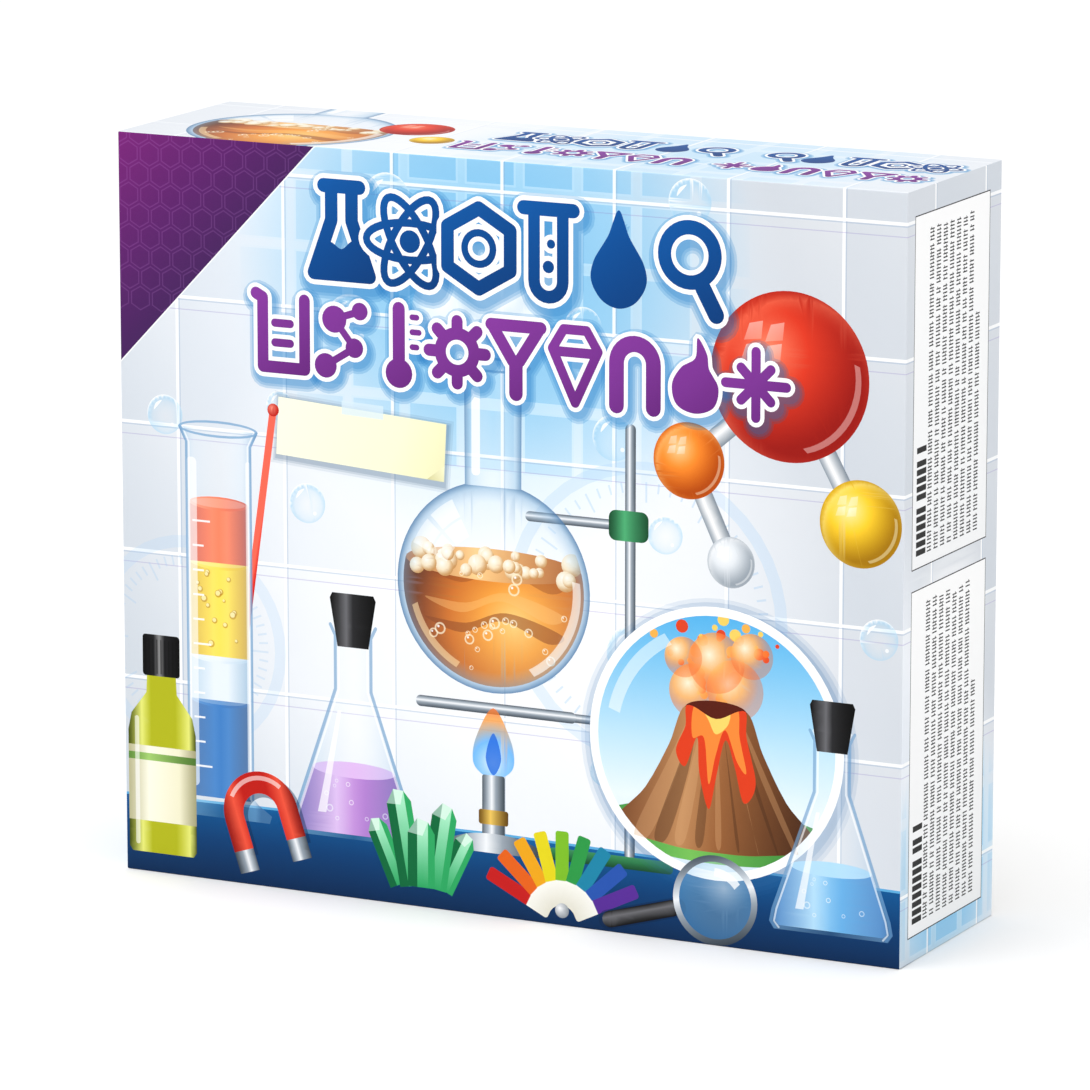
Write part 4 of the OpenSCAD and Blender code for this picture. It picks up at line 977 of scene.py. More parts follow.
def board_material(name, base, roughness=0.55):
    """Coated board: faintly mottled, with the fine waves of its liner paper."""
    m, tree, shader = material(name, base, roughness=roughness, coat_weight=0.08, coat_roughness=0.35)
    noise = uneven(tree, shader, 240, 0.25, 0.0002)
    tinted(tree, shader, noise, "Fac", [c * 0.965 for c in base], base, 0.3, 0.7)
    return m


def finish(name, base, roughness=0.4, mottle=0.05, grain=60, depth=0.1, reach=0.0002, **settings):
    """A moulded or sheet material: its colour and its surface vary a little. grain is in spots per metre."""
    m, tree, shader = material(name, base, roughness=roughness, **settings)
    noise = uneven(tree, shader, grain, depth, reach)
    dark, light = [c * (1 - mottle) for c in base], [min(1, c * (1 + mottle)) for c in base]
    tinted(tree, shader, noise, "Fac", dark, light, 0.32, 0.68)
    return m


def clear(name, tint, roughness=0.04, transmission=1.0, grain=35, depth=0.06):
    """Clear moulded plastic, with the faint waves of its mould."""
    m, tree, shader = material(name, tint, roughness=roughness, ior=1.49, transmission_weight=transmission)
    uneven(tree, shader, grain, depth, 0.0002, 1.0)
    return m


def striped(m, straws, colour, turns):
    """Winds a stripe round the x axis through the middle of each of two straws, turns times a metre.
    gap is between the straws, in metres, and stripe is its own share of a turn."""
    gap, stripe = 0.001, 0.38
    tree = m.node_tree
    shader = tree.nodes["Principled BSDF"]
    lo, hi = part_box(straws)
    place = tree.nodes.new("ShaderNodeTexCoord")
    split = tree.nodes.new("ShaderNodeSeparateXYZ")
    link(tree, place, "Object", split, "Vector")

    def sum_of(operation, a, b):
        node = tree.nodes.new("ShaderNodeMath")
        node.operation = operation
        for i, value in enumerate((a, b)):
            if isinstance(value, (int, float)):
                node.inputs[i].default_value = value
            else:
                tree.links.new(value, node.inputs[i])
        return node.outputs[0]

    pitch = (hi.z - lo.z + gap) / 2
    z_in_straw = sum_of("MODULO", sum_of("SUBTRACT", split.outputs["Z"], lo.z), pitch)
    from_axis = sum_of("SUBTRACT", z_in_straw, (pitch - gap) / 2)
    round_x = sum_of("ARCTAN2", sum_of("SUBTRACT", split.outputs["Y"], (lo.y + hi.y) / 2), from_axis)
    share = sum_of("MULTIPLY", round_x, 0.5 / math.pi)
    wave = sum_of("FRACT", sum_of("ADD", share, sum_of("MULTIPLY", split.outputs["X"], turns)), 0)
    mask = sum_of("LESS_THAN", wave, stripe)
    mix = tree.nodes.new("ShaderNodeMix")
    mix.data_type = "RGBA"
    tree.links.new(mask, mix.inputs["Factor"])
    mix.inputs["A"].default_value = (*shader.inputs["Base Color"].default_value[:3], 1)
    mix.inputs["B"].default_value = (*colour, 1)
    tree.links.new(mix.outputs["Result"], shader.inputs["Base Color"])
    return m


def woven(name, base):
    """Elastic webbing: two crossed waves give its colour and its bump."""
    m, tree, shader = material(name, base, roughness=0.75, sheen_weight=0.3, sheen_roughness=0.4)
    place = tree.nodes.new("ShaderNodeTexCoord")
    waves = []
    for direction, scale in (("X", 900), ("Z", 520)):
        wave = tree.nodes.new("ShaderNodeTexWave")
        wave.bands_direction = direction
        wave.inputs["Scale"].default_value = scale
        wave.inputs["Distortion"].default_value = 0.6
        link(tree, place, "Object", wave, "Vector")
        waves.append(wave)
    both = tree.nodes.new("ShaderNodeMath")
    both.operation = "MULTIPLY"
    for i, wave in enumerate(waves):
        link(tree, wave, "Fac", both, i)
    tinted(tree, shader, both, 0, (0.05, 0.07, 0.11), (0.2, 0.25, 0.33))
    bumped(tree, shader, both, 0, 0.5, 0.0002)
    return m


# ---------------------------------------------------------------- pieces made of loops of points


def shown(name, mesh):
    """A new object of the mesh."""
    piece = bpy.data.objects.new(name, mesh)
    bpy.context.scene.collection.objects.link(piece)
    return piece


def skin(bm, loops, closed=True):
    """Faces from each loop of vertices to the next. Loops that aren't closed make an open strip."""
    for a, b in zip(loops, loops[1:]):
        count = len(a)
        for i in range(count if closed else count - 1):
            bm.faces.new((a[i], a[(i + 1) % count], b[(i + 1) % count], b[i]))


def finished(bm, name, smooth_angle=40, outwards=True):
    """The bmesh as an object, smooth but for its corners. outwards turns its faces outwards first."""
    if outwards:
        bmesh.ops.recalc_face_normals(bm, faces=bm.faces)
    mesh = bpy.data.meshes.new(name)
    bm.to_mesh(mesh)
    bm.free()
    mesh.polygons.foreach_set("use_smooth", [True] * len(mesh.polygons))
    mesh.set_sharp_from_angle(angle=math.radians(smooth_angle))
    return shown(name, mesh)


def dress(piece, look_of, body):
    piece.data.materials.append(look_of)
    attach(piece, body)
    return piece


def swept_ring(name, lo, hi, profile, floor=False):
    """A rectangular ring, mitred at its corners: profile holds (inset from the x and z edges, y) points.
    floor closes its last loop with a face."""
    bm = bmesh.new()
    loops = []
    for inset, y in profile:
        corners = rect(lo[0] + inset, lo[2] + inset, hi[0] - inset, hi[2] - inset)
        loops.append([bm.verts.new((x * MM, y * MM, z * MM)) for x, z in corners])
    skin(bm, loops)
    if floor:
        bm.faces.new(loops[-1])
    return finished(bm, name)


def lathe(name, profile, centre, axis, steps, smooth_angle):
    """A turned piece: profile holds (radius, height) in mm, and height runs from centre along axis.
    Radius 0 closes an end."""
    bm = bmesh.new()
    spin = Vector(axis).to_track_quat("Z", "Y")
    loops = []
    for r, h in profile:
        count = steps if r > 1e-6 else 1
        turns = [2 * math.pi * i / steps for i in range(count)]
        spots = [Vector((r * MM * math.cos(a), r * MM * math.sin(a), h * MM)) for a in turns]
        loops.append([bm.verts.new(Vector(centre) + spin @ spot) for spot in spots])
    for a, b in zip(loops, loops[1:]):
        for i in range(steps):
            quad = [a[i % len(a)], a[(i + 1) % len(a)], b[(i + 1) % len(b)], b[i % len(b)]]
            quad = [v for k, v in enumerate(quad) if v not in quad[:k]]
            if len(quad) > 2:
                bm.faces.new(quad)
    return finished(bm, name, smooth_angle)


def swept(name, path, section, smooth_angle):
    """A closed band along a path in the x-y plane: path holds (x, y, z0) points in metres, section (outwards,
    along z) points in mm."""
    bm = bmesh.new()
    p = np.array(path, float)
    d = np.gradient(p, axis=0)
    d /= np.linalg.norm(d, axis=1)[:, None]
    loops = [[bm.verts.new((x + dy * out * MM, y - dx * out * MM, z + up * MM)) for out, up in section]
             for (x, y, z), (dx, dy, _) in zip(p, d)]
    skin(bm, loops)
    bm.faces.new(loops[0][::-1])
    bm.faces.new(loops[-1])
    return finished(bm, name, smooth_angle)


# ---------------------------------------------------------------- the printed lid

BOARD_T = 2.0         # board of the lid, in mm
EDGE_R = 0.7          # rounding of the wrapped board's outer edges
TURN_IN = 15          # how far the wrap is turned in over the rim
LID_LO, LID_HI = (np.array(c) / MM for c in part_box("lid_shell"))
INNER_LO = LID_LO + EDGE_R
INNER_HI = LID_HI - EDGE_R * np.array([1, 0, 1])
LID_W, LID_D, LID_H = LID_HI - LID_LO
X, Y, Z = np.eye(3)


def lid_patches(p, origin, right, up, columns, rows):
    """The panel as columns x rows of meshes. Each has its own map, so that the print stays sharp when it is
    baked. Near the outer edges the panel bends to 45 degrees, where it meets its neighbour."""
    margin = 0.004        # round each map, as a share of it
    bends = [EDGE_R * t for t in (0.27, 0.6, 1)]
    cuts_x = [p.width * i / columns for i in range(1, columns)] + bends + [p.width - b for b in bends]
    cuts_y = [p.height * j / rows for j in range(1, rows)] + bends + [p.height - b for b in bends]
    place, colour = p.build(cuts_x, cuts_y)
    middle = place.mean(1)
    cell = (np.minimum(middle[:, 0] * columns // p.width, columns - 1) * rows
            + np.minimum(middle[:, 1] * rows // p.height, rows - 1)).astype(int)
    for index in range(columns * rows):
        mine = np.nonzero(cell == index)[0]
        flat_co, where = np.unique(np.round(place[mine].reshape(-1, 2), 4), axis=0, return_inverse=True)
        where = where.reshape(-1, 3)
        whole = (where[:, 0] != where[:, 1]) & (where[:, 1] != where[:, 2]) & (where[:, 2] != where[:, 0])
        mine, where = mine[whole], where[whole]
        corners = place[mine].reshape(-1, 2)
        sharp = origin + flat_co[:, :1] * right + flat_co[:, 1:] * up
        inner = np.clip(sharp, INNER_LO, INNER_HI)
        away = sharp - inner
        away /= np.linalg.norm(away, axis=1)[:, None]
        reach = np.where(np.abs(away @ np.cross(right, up))[:, None] > 0, EDGE_R, 0)
        mesh = bpy.data.meshes.new(f"{p.name}_{index + 1}")
        mesh.from_pydata([tuple(v) for v in (inner + away * reach) * MM], [], where.tolist())
        tint = mesh.color_attributes.new("print", "FLOAT_COLOR", "CORNER")
        opaque = np.concatenate([colour[mine].reshape(-1, 3), np.ones((len(corners), 1))], 1)
        tint.data.foreach_set("color", opaque.astype(np.float32).ravel())
        lo = np.array([index // rows * p.width / columns, index % rows * p.height / rows])
        span = np.array([p.width / columns, p.height / rows])
        uv = mesh.uv_layers.new(name="OFBake")
        spread = margin + (1 - 2 * margin) * (corners - lo) / span
        uv.data.foreach_set("uv", spread.astype(np.float32).ravel())
        mesh.polygons.foreach_set("use_smooth", [True] * len(mesh.polygons))
        mesh.normals_split_custom_set_from_vertices([tuple(v) for v in away])
        dress(shown(mesh.name, mesh), wrap_paper, "lid")


def lid_board():
    """The lid's board: its rim, its inner walls and the inside of its front panel."""
    y_rim, y_floor = LID_HI[1], LID_LO[1] + BOARD_T
    profile = [(0.05, y_rim), (BOARD_T - 0.3, y_rim), (BOARD_T - 0.1, y_rim - 0.1), (BOARD_T, y_rim - 0.3),
               (BOARD_T, y_floor + 0.8), (BOARD_T + 0.25, y_floor + 0.25), (BOARD_T + 0.8, y_floor)]
    board = swept_ring("lid_board", LID_LO, LID_HI, profile, floor=True)
    dress(board, board_material("lined_board", (0.86, 0.86, 0.84)), "lid")
    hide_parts("lid_shell")


def lid_turn_in():
    """The wrap's edge, turned in over the rim and glued to the inner walls."""
    y_rim, lift, thick = LID_HI[1], BOARD_T + 0.02, BOARD_T + 0.12
    profile = [(lift, y_rim - 0.4), (thick, y_rim - 0.6),
               (thick, y_rim - (TURN_IN - 0.1)), (lift, y_rim - TURN_IN)]
    edge = board_material("wrap_turn_in", (0.74, 0.8, 0.86), 0.4)
    dress(swept_ring("lid_turn_in", LID_LO, LID_HI, profile), edge, "lid")


lid_board()
lid_turn_in()
wrap_paper = print_material()
lid_patches(front_print(LID_W, LID_H), LID_LO, X, Z, 5, 4)
lid_patches(side_print("print_right", LID_D, LID_H, True), LID_LO + LID_W * X, Y, Z, 1, 4)
lid_patches(side_print("print_left", LID_D, LID_H, False), LID_LO + LID_D * Y, -Y, Z, 1, 4)
lid_patches(top_print(LID_W, LID_D), LID_LO + LID_H * Z, X, Y, 4, 1)
lid_patches(bottom_print(LID_W, LID_D), LID_LO + LID_D * Y, X, -Y, 4, 1)

# ---------------------------------------------------------------- the CAD pieces that keep their shape

MILK = (0.84, 0.84, 0.82)
white_board = board_material("white_board", MILK, 0.5)
formed_white = finish("formed_white", (0.82, 0.83, 0.84), 0.3, 0.02, 55, 0.12, 0.0004, coat_weight=0.15,
                      coat_roughness=0.2)
clear_plastic = clear("clear_plastic", (0.982, 0.992, 0.998))
clear_lens = clear("clear_lens", (0.975, 0.99, 1.0), 0.02)
blue_vinyl = clear("blue_vinyl", (0.42, 0.68, 0.93), 0.22, 0.72, 60, 0.15)
milky = clear("milky_plastic", (0.93, 0.93, 0.9), 0.34, 0.45, 60, 0.15)
soft_clear = clear("soft_clear", (0.93, 0.95, 0.95), 0.2, 0.8, 80, 0.15)
black_cap = finish("black_cap", (0.012, 0.012, 0.013), 0.36, 0.2, 300, 0.15)
white_cap = finish("white_cap", (0.82, 0.82, 0.8), 0.34, 0.02, 300, 0.12)
red_cap = finish("red_cap", (0.56, 0.014, 0.016), 0.3, 0.06, 300, 0.12)
rubber = finish("black_rubber", (0.018, 0.018, 0.018), 0.62, 0.25, 900, 0.3)
foam = finish("white_foam", MILK, 0.85, 0.05, 1400, 0.6)
rack_red = finish("rack_red", (0.58, 0.02, 0.018), 0.2, 0.05, 40, 0.1, coat_weight=0.3, coat_roughness=0.08)
white_plastic = finish("white_plastic", MILK, 0.3, 0.02, 200, 0.1)
black_plastic = finish("black_plastic", (0.016, 0.016, 0.017), 0.42, 0.2, 500, 0.3)
green_straw = striped(finish("green_straw", (0.82, 0.86, 0.8), 0.25, 0.02), "stirring_straws",
                      (0.03, 0.42, 0.13), 46)
cover_stock = finish("cover_stock", (0.035, 0.2, 0.5), 0.3, 0.05, 220, 0.12, coat_weight=0.2,
                     coat_roughness=0.15)
page_stock = finish("page_stock", (0.83, 0.83, 0.79), 0.75, 0.03, 700, 0.3)
staple_wire = finish("staple_wire", (0.62, 0.63, 0.65), 0.25, 0.05, 900, 0.1, metallic=1.0)
label_paper = finish("label_paper", (0.86, 0.82, 0.66), 0.5, 0.03, 400, 0.15)

for look_of, names in (
        (white_board, "base_shell"), (formed_white, "tray"), (cover_stock, "booklet_cover"),
        (page_stock, "booklet_pages"), (staple_wire, "booklet_staples"),
        (blue_vinyl, "goggle_frame goggle_vents strap_clips"),
        (clear_plastic, "test_tube_1 test_tube_2 test_tube_3 flask beaker syringe_barrel petri_dish"
                        " petri_cover"),
        (foam, "tube_liner_1 tube_liner_2 tube_liner_3 jar_liner_1 jar_liner_2"),
        (black_cap, "tube_cap_1 tube_cap_2 tube_cap_3"), (white_cap, "jar_cap_1"), (red_cap, "jar_cap_2"),
        (rubber, "flask_stopper syringe_seal"), (milky, "jar_1 jar_2"), (soft_clear, "pipette"),
        (rack_red, "rack_top_shelf rack_bottom_shelf rack_end_left rack_end_right"),
        (white_plastic, "syringe_plunger measuring_spoon"), (green_straw, "stirring_straws"),
        (black_plastic, "tweezers_heel tweezers_arm_1 tweezers_arm_2")):
    for name in names.split():
        nodes[name].data.materials.clear()
        nodes[name].data.materials.append(look_of)


def soften(node, width):
    """Rounds a node's moulded or cut edges: width in mm."""
    node.data.polygons.foreach_set("use_smooth", [True] * len(node.data.polygons))
    node.modifiers.new("weld", "WELD").merge_threshold = 1e-6
    if node.name.startswith("rack"):
        whole = node.modifiers.new("flats", "DECIMATE")
        whole.decimate_type, whole.angle_limit = "DISSOLVE", math.radians(1)
    bevel = node.modifiers.new("edges", "BEVEL")
    bevel.width, bevel.segments = width * MM, 2
    bevel.limit_method, bevel.angle_limit = "ANGLE", math.radians(40)
    node.modifiers.new("normals", "WEIGHTED_NORMAL").keep_sharp = False


for width, names in (
        (0.5, "base_shell rack_top_shelf rack_bottom_shelf rack_end_left rack_end_right"), (0.8, "tray"),
        (0.35, "strap_clips measuring_spoon tweezers_heel goggle_frame"),
        (0.25, "tweezers_arm_1 tweezers_arm_2 syringe_plunger goggle_vents booklet_cover petri_dish"
               " petri_cover")):
    for name in names.split():
        soften(nodes[name], width)

# ---------------------------------------------------------------- the goggles' lens and strap

STRAP_T = 0.0014      # the strap's thickness, in metres


def lens_pane():
    """The lens, a little clear of the lip that it rests on."""
    pane = shown("lens_pane", nodes["goggle_lens"].data.copy())
    lip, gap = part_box("goggle_lens")[1].y, 0.0001
    for v in pane.data.vertices:
        v.co.y -= gap if v.co.y > lip - 1e-5 else 0
    pane.data.materials.clear()
    dress(pane, clear_lens, "base")
    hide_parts("goggle_lens")


def strap_path(lo, hi):
    """Down the left side, along the foot and up the right side, with round corners."""
    left, right, foot, head = lo[0] + STRAP_T / 2, hi[0] - STRAP_T / 2, hi[1] - STRAP_T / 2, lo[1]
    bend, cut = 0.005, 0.2
    path = [(left, head + (foot - bend - head) * t) for t in np.linspace(0, 1, 8)]
    path += [(left + bend - bend * math.cos(a), foot - bend + bend * math.sin(a))
             for a in np.linspace(cut, math.pi / 2, 7)]
    path += [(left + bend + (right - left - 2 * bend) * t, foot) for t in np.linspace(0.02, 0.98, 60)]
    path += [(right - bend + bend * math.sin(a), foot - bend + bend * math.cos(a))
             for a in np.linspace(0, math.pi / 2 - cut, 7)]
    path += [(right, foot - bend + (head - foot + bend) * t) for t in np.linspace(0, 1, 8)]
    return [(x, y, lo[2]) for x, y in path]


def rib(u, wide):
    """Half the strap's thickness at u of its width, in mm: a plump edge at each side, and 12 ribs between."""
    edge, hem = min(u, wide - u), 1.6
    if edge < hem:
        return 0.42 + 0.28 * min(1, edge / 0.6)
    return 0.58 + 0.1 * math.cos(2 * math.pi * (u - hem) / ((wide - 2 * hem) / 12))


def stitches(name, x, side, head, z_low, thread):
    """Two rows of nine stitches on the strap's outer side, which is -1 at its left end and 1 at its right."""
    low, high = x + side * 0.00066, x + side * 0.00086
    bm = bmesh.new()
    for row in range(2):
        for k in range(9):
            z0, y0 = z_low + 0.0018 + k * 0.0018, head + 0.0035 + row * 0.0022
            stitch = [(low, y0, z0), (high, y0 + 0.0004, z0 + 0.0004), (high, y0 + 0.0004, z0 + 0.001),
                      (low, y0, z0 + 0.0014), (low, y0 + 0.0008, z0 + 0.0014), (low, y0 + 0.0008, z0)]
            v = [bm.verts.new(q) for q in stitch]
            for face in ((0, 1, 2, 3), (1, 5, 4, 2), (0, 5, 1), (3, 2, 4), (0, 3, 4, 5)):
                bm.faces.new([v[i] for i in face])
    dress(finished(bm, name, 60), thread, "base")


def strap():
    """Ribbed elastic that turns round its two lower corners and is sewn back on itself inside each clip."""
    lo, hi = (np.array(c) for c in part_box("goggle_strap"))
    wide = (hi[2] - lo[2]) / MM
    across = [0.1 + (wide - 0.2) * i / 60 for i in range(61)]
    section = [(rib(u, wide), u) for u in across] + [(-rib(u, wide), u) for u in reversed(across)]
    elastic = swept("strap_elastic", strap_path(lo, hi), section, 60)
    dress(elastic, woven("strap_weave", (0.1, 0.13, 0.18)), "base")
    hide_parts("goggle_strap")
    thread = finish("strap_thread", (0.75, 0.78, 0.82), 0.7, 0.1, 2500, 0.4)
    stitches("strap_stitches_left", lo[0] + STRAP_T / 2, -1, lo[1], lo[2], thread)
    stitches("strap_stitches_right", hi[0] - STRAP_T / 2, 1, lo[1], lo[2], thread)


lens_pane()
strap()

# ---------------------------------------------------------------- the balloon


def balloon_bag(lo, hi, rubber_look):
    """An empty bag with soft creases, flat on its pocket's floor."""
    length, half_w, floor_y, mid_z = hi[0] - lo[0] - 4, (hi[2] - lo[2]) / 2, hi[1], (lo[2] + hi[2]) / 2
    neck_r, loop_count, count = 3.4, 56, 40
    half_t, up_low, up_high = 1.15, 0.03, 2.37
    bm = bmesh.new()
    loops = []
    for i in range(loop_count + 1):
        t = i / loop_count
        part = 0.5 - 0.5 * math.cos(math.pi * t)
        neck = neck_r * (1 - t) ** 0.5 if t < 0.5 else 0.02
        w = max((half_w - 0.1) * math.sin(math.pi * t) * (0.42 + 0.58 * part ** 0.7) / 0.84, neck)
        x = lo[0] + 2.2 + (length + 1.8) * part
        h = 1.12 * min(1, (w / 7) ** 0.6) * (1 - 0.25 * math.sin(5 * t) ** 2)
        loop = []
        for k in range(count):
            a = 2 * math.pi * k / count
            cu, su = math.cos(a), math.sin(a)
            z = w * math.copysign(abs(cu) ** 0.8, cu)
            crease = 0.16 * math.sin(z * 1.1 + 5 * t) * math.cos(9 * t) + 0.12 * math.sin(z * 0.6 - 14 * t)
            plump = half_t + h * math.copysign(abs(su) ** 0.7, su) * 0.92
            up = plump + crease * min(1, w / 6) * (1 - abs(cu) ** 6) * 0.6
            y = floor_y - min(max(up, up_low), up_high)
            loop.append(bm.verts.new((x * MM, y * MM, (mid_z + z) * MM)))
        loops.append(loop)
    skin(bm, loops)
    bm.faces.new(loops[-1])
    bag = dress(finished(bm, "balloon_bag", 70), rubber_look, "base")
    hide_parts("balloon")


def balloon_mouth(lo, hi, rubber_look):
    """The rolled rim at the bag's mouth."""
    mid_z = (lo[2] + hi[2]) / 2
    half_length, thick = 1.15, 0.7
    turns = [2 * math.pi * j / 14 for j in range(14)]
    bm = bmesh.new()
    loops = []
    for i in range(48):
        a = 2 * math.pi * i / 48
        x, y, z = lo[0] + 1.3, hi[1] - 1.5 - 0.75 * math.sin(a), mid_z + 4.1 * math.cos(a)
        loops.append([bm.verts.new(((x + half_length * math.cos(b)) * MM,
                                    (y - thick * math.sin(b) * math.sin(a)) * MM,
                                    (z + thick * math.sin(b) * math.cos(a)) * MM)) for b in turns])
    skin(bm, loops + loops[:1])
    dress(finished(bm, "balloon_mouth", 70), rubber_look, "base")


red_rubber = finish("red_rubber", (0.62, 0.03, 0.015), 0.28, 0.12, 260, 0.35, 0.0003, subsurface_weight=0.25,
                    subsurface_radius=(0.003, 0.0008, 0.0005), coat_weight=0.2, coat_roughness=0.2)
for make in (balloon_bag, balloon_mouth):
    make(*(np.array(c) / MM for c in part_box("balloon")), red_rubber)

# ---------------------------------------------------------------- the indicator strips


def test_strips(lo, hi):
    """Four columns of nine thin strips, each with three colour pads near its right end."""
    columns, layers, gap, layer_t, strip_t = 4, 9, 0.5, 0.46, 0.3
    pick = random.Random(2)
    bm = bmesh.new()
    step = (hi[2] - lo[2] - 0.6) / columns
    for c in range(columns):
        for n in range(layers):
            slip, x0, x1 = pick.uniform(-0.3, 0.3), lo[0] + 0.5, hi[0] - 0.5
            z0 = lo[2] + 0.3 + c * step + 0.25 + pick.uniform(-0.1, 0.1)
            z1 = z0 + step - gap
            y0 = hi[1] - 0.35 - n * layer_t
            cuts = [x0 + slip + 0.1] + [x1 - back + slip for back in (14.5, 11.5, 10.5, 7.5, 6.5, 3.5, 0.2)]
            rise = [0.05 * math.sin(0.3 * (x - x0) + n) for x in cuts]
            rows = [[bm.verts.new((x * MM, (y - r) * MM, z * MM)) for x, r in zip(cuts, rise)]
                    for y in (y0, y0 - strip_t) for z in (z0, z1)]
            for i in range(len(cuts) - 1):
                top = bm.faces.new((rows[2][i], rows[2][i + 1], rows[3][i + 1], rows[3][i]))
                top.material_index = {1: 1 + c, 3: 1 + (c + 1) % 4, 5: 1 + (c + 2) % 4}.get(i, 0)
                bm.faces.new((rows[0][i], rows[1][i], rows[1][i + 1], rows[0][i + 1]))
                bm.faces.new((rows[0][i], rows[0][i + 1], rows[2][i + 1], rows[2][i]))
                bm.faces.new((rows[1][i], rows[3][i], rows[3][i + 1], rows[1][i + 1]))
            for i in (0, -1):
                bm.faces.new((rows[0][i], rows[2][i], rows[3][i], rows[1][i]))
    strips = finished(bm, "test_strips", 30)
    strips.data.materials.append(finish("strip_paper", (0.85, 0.83, 0.76), 0.7, 0.03, 700, 0.25))
    pad_colours = ((0.75, 0.5, 0.03), (0.75, 0.24, 0.03), (0.2, 0.42, 0.08), (0.06, 0.2, 0.45))
    for k, colour in enumerate(pad_colours):
        strips.data.materials.append(finish(f"pad_{k}", colour, 0.7, 0.06, 900, 0.3))
    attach(strips, "base")
    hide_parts("indicator_strips")


def strips_band(lo, hi):
    """The paper band that holds the strips."""
    bm = bmesh.new()
    y_foot, y_top, z_low, z_high = hi[1] - 0.05, lo[1] + 0.25, lo[2] + 0.05, hi[2] - 0.05
    band = [(y_foot, z_low), (y_foot, z_high), (y_top, z_high), (y_top, z_low)]
    skin(bm, [[bm.verts.new((x * MM, y * MM, z * MM)) for y, z in band] for x in (lo[0] + 6, lo[0] + 13)])
    wrap = finished(bm, "strips_band", 30)
    wrap.modifiers.new("paper", "SOLIDIFY").thickness = 0.00012
    dress(wrap, label_paper, "base")


for make in (test_strips, strips_band):
    make(*(np.array(c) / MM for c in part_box("indicator_strips")))

# ---------------------------------------------------------------- filter papers, powders and labels


def round_box(name):
    """The middle of a round node's foot, at its +Y end, its radius in metres and its height in mm."""
    lo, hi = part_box(name)
    return ((lo.x + hi.x) / 2, hi.y, (lo.z + hi.z) / 2), (hi.x - lo.x) / 2, (hi.y - lo.y) / MM


def filter_stack():
    """A stack of papers whose edge shows each sheet."""
    centre, radius, height = round_box("filter_papers")
    radius, height, sheets = radius / MM, height - 0.05, 14
    pick = random.Random(4)
    edge = []
    for k in range(sheets):
        r = radius - pick.uniform(0, 0.35)
        edge += [(r - 0.25, max(0.05, height * k / sheets)), (r, height * (k + 0.25) / sheets),
                 (r, height * (k + 0.75) / sheets)]
    profile = [(0, 0.05)] + edge + [(radius - 0.4, height), (0, height)]
    stock = finish("filter_stock", (0.86, 0.855, 0.83), 0.9, 0.04, 1200, 0.7, 0.0001)
    papers = dress(lathe("filter_stack", profile, centre, (0, -1, 0), 96, 30), stock, "base")
    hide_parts("filter_papers")


def powder_heap(k, slot, colour):
    """The powder in jar k, with an uneven top."""
    centre, r, h = round_box(f"jar_powder_{k}")
    r /= MM
    top = [(r * f, h - 4 + 3.6 * (1 - f) ** 0.7) for f in (0.96, 0.85, 0.7, 0.55, 0.4, 0.25, 0.12)]
    profile = [(0, 0.05), (r - 1, 0.05), (r, 1), (r, h - 4.5), *top, (0, h - 0.4)]
    heap = lathe(f"powder_heap_{k}", profile, centre, (0, -1, 0), 72, 60)
    pick = random.Random(k)
    phases = [(pick.uniform(0, 6), pick.uniform(0.2, 0.9), pick.uniform(0.2, 0.9)) for _ in range(6)]
    for v in heap.data.vertices:
        if (centre[1] - v.co.y) / MM > h - 5:
            x, z = (v.co.x - centre[0]) / MM, (v.co.z - centre[2]) / MM
            v.co.y += 0.35 * MM * (1 + sum(math.sin(a + b * x + c * z) for a, b, c in phases) / 3)
    dress(heap, finish(slot, colour, 0.95, 0.14, 1800, 0.9, 0.0003), "base")
    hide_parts(f"jar_powder_{k}")


def jar_label(k):
    """A bare label round jar k, with a gap on its -Z side."""
    x, _, z = round_box(f"jar_powder_{k}")[0]
    (_, foot, _), r, _ = round_box(f"jar_{k}")
    r += 0.00008
    bm = bmesh.new()
    turns = np.linspace(-2.9, 2.9, 73)
    skin(bm, [[bm.verts.new((x + r * math.sin(a), y, z + r * math.cos(a))) for a in turns]
              for y in (foot - 0.008, foot - 0.034)], closed=False)
    dress(finished(bm, f"jar_label_{k}", 60), label_paper, "base")


filter_stack()
for number, powder, tone in ((1, "cream_powder", (0.84, 0.76, 0.55)), (2, "pink_powder", (0.84, 0.5, 0.55))):
    powder_heap(number, powder, tone)
    jar_label(number)

# ---------------------------------------------------------------- the graduations


def marks(name, axis, r, r_high, base, lines, digits, facing):
    """Ink marks round a vessel whose axis is +Z. lines holds (height, degrees of arc), digits (height, text,
    size), in mm. facing is the marks' middle in degrees from +X. The wall leans from r to r_high in 100 mm.
    """
    lift, half_line, beside_gap = 0.05, 0.14, 5
    bm = bmesh.new()

    def spot(angle, h):
        a, rr = math.radians(facing + angle), (r + (r_high - r) * h / 100 + lift) * MM
        return bm.verts.new((axis[0] + rr * math.cos(a), axis[1] + rr * math.sin(a), base + h * MM))

    for h, reach in lines:
        n = max(2, int(reach / 5))
        rows = [[spot(-reach * i / n, h + dh) for i in range(n + 1)] for dh in (-half_line, half_line)]
        skin(bm, rows, closed=False)
    for h, text, size in digits:
        curve = bpy.data.curves.new("digits", "FONT")
        curve.body, curve.size, curve.align_x = text, size, "RIGHT"
        holder = shown("digits", curve)
        graph = bpy.context.evaluated_depsgraph_get()
        flat_text = bpy.data.meshes.new_from_object(holder.evaluated_get(graph))
        beside = -max(reach for line, reach in lines if abs(line - h) < 0.01) - beside_gap
        made = [spot(beside + math.degrees(v.co.x / r), h + v.co.y - size * 0.35) for v in flat_text.vertices]
        for f in flat_text.polygons:
            bm.faces.new([made[i] for i in f.vertices])
        bpy.data.objects.remove(holder)
        bpy.data.meshes.remove(flat_text)
        bpy.data.curves.remove(curve)
    dress(finished(bm, name, 80, outwards=False), ink, "base")


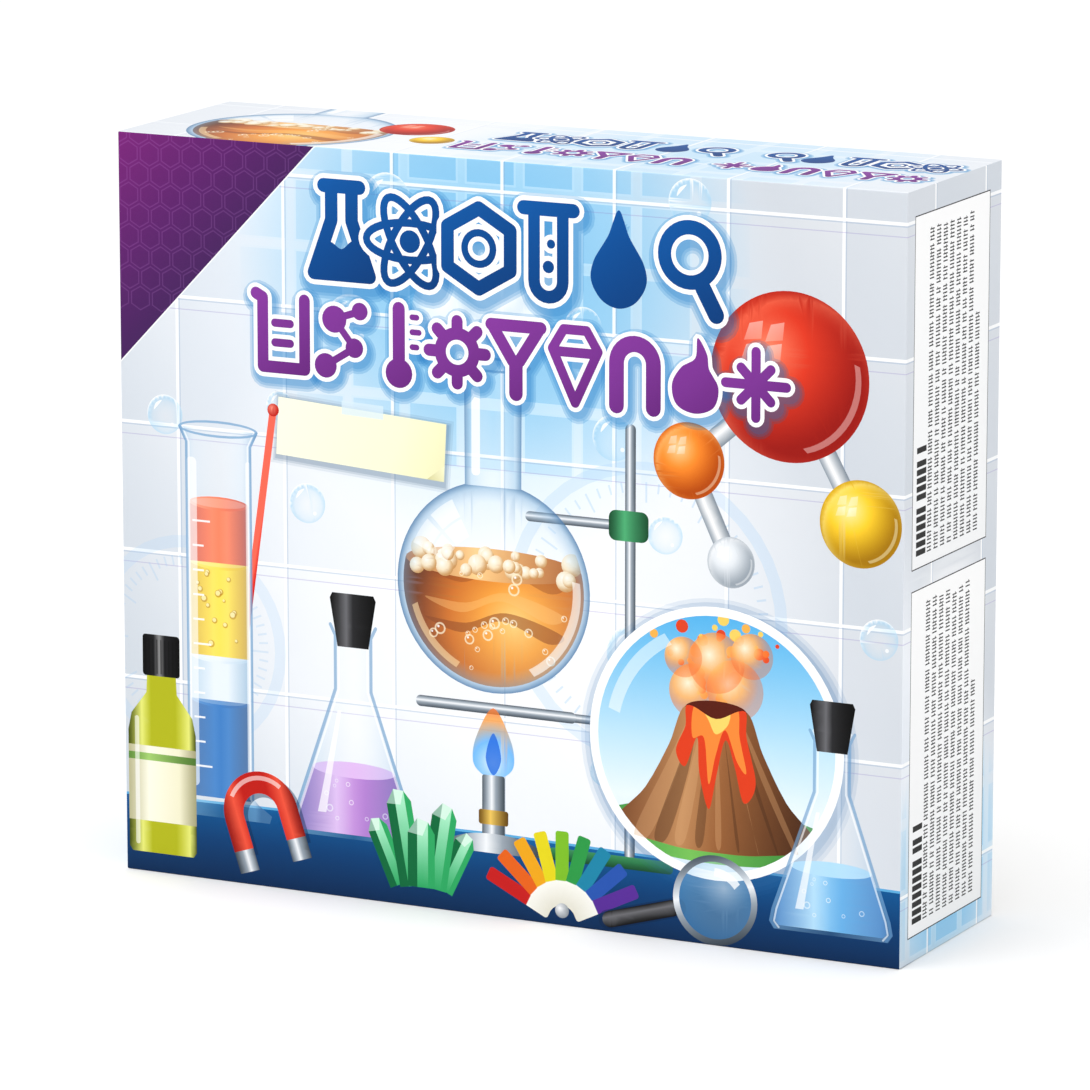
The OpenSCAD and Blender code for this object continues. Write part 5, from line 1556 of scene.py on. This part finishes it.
ink = finish("mark_ink", (0.01, 0.012, 0.02), 0.4, 0.2, 800, 0.05)
ML, BORE_FOOT, BEAKER_R = 2.85, 0.0113, 0.0301        # mm a millilitre, then metres
lo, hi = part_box("syringe_seal")
marks("syringe_marks", (lo + hi) / 2, 9.0, 9.0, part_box("syringe_barrel")[0].z + BORE_FOOT,
      [(ML * k, 62 if k % 5 == 0 else 36) for k in range(0, 21)],
      [(5 * ML * k, str(5 * k), 3.4) for k in range(1, 5)], -50)
lo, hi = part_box("flask")
marks("flask_marks", (lo + hi) / 2, 32.2, 2.8, lo.z, [(9.6, 16), (21.4, 22), (38, 26)],
      [(21.4, "50", 5.5)], -75)
lo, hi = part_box("beaker")
marks("beaker_marks", Vector(((lo.x + hi.x) / 2, hi.y - BEAKER_R, 0)), 28.5, 28.5, lo.z,
      [(1.6 + 5.5 * k, 22 if k % 4 == 0 else 12) for k in range(1, 11)],
      [(23.6, "50", 6), (45.6, "100", 6)], -75)

# ---------------------------------------------------------------- floor, lights and camera

SKY = 0.62
# name, kind, place, size in metres or degrees, power
LAMPS = (("sun", "SUN", (-0.3, -0.6, 2.4), 70, 1.9), ("key", "AREA", (-1.3, -2.2, 1.1), 1.6, 9),
         ("fill", "AREA", (2.3, -0.9, 0.8), 1.6, 13))


def studio():
    """A wide white floor under an even white sky, with a soft sun above and two large lamps in front."""
    floor = bpy.data.meshes.new("floor")
    floor.from_pydata([(x, y, 0) for x, y in ring(0, 0, 40, steps=64)], [], [list(range(64))])
    white = material("studio_white", (0.9, 0.9, 0.9), roughness=0.7, specular_ior_level=0.1)[0]
    floor.materials.append(white)
    shown("floor", floor)
    for name, kind, place, size, power in LAMPS:
        lamp = bpy.data.lights.new(name, kind)
        lamp.energy = power
        if kind == "SUN":
            lamp.angle = math.radians(size)
        else:
            lamp.size = size
        o = shown(name, lamp)
        o.location = place
        o.rotation_euler = (Vector((0, 0, 0.15)) - Vector(place)).to_track_quat("-Z", "Y").to_euler()
    world = bpy.data.worlds.new("studio")
    world.use_nodes = True
    world.node_tree.nodes["Background"].inputs["Color"].default_value = (1, 1, 1, 1)
    world.node_tree.nodes["Background"].inputs["Strength"].default_value = SKY
    scene = bpy.context.scene
    scene.world = world
    scene.view_settings.view_transform = "Standard"


def camera():
    """A long lens that looks at the case's front right corner from a little above it."""
    azimuth, elevation, distance = math.radians(26.72), math.radians(12.05), 2.749
    aim = Vector((-0.0041, 0, 0.1405))
    level = math.cos(elevation)
    back = Vector((math.sin(azimuth) * level, -math.cos(azimuth) * level, math.sin(elevation)))
    data = bpy.data.cameras.new("camera")
    data.sensor_width, data.lens, data.clip_end = 36, 230.5, 20
    cam = shown("camera", data)
    cam.location = aim + back * distance
    cam.rotation_mode = "QUATERNION"
    cam.rotation_quaternion = (-back).to_track_quat("-Z", "Y")
    bpy.context.scene.camera = cam


studio()
camera()
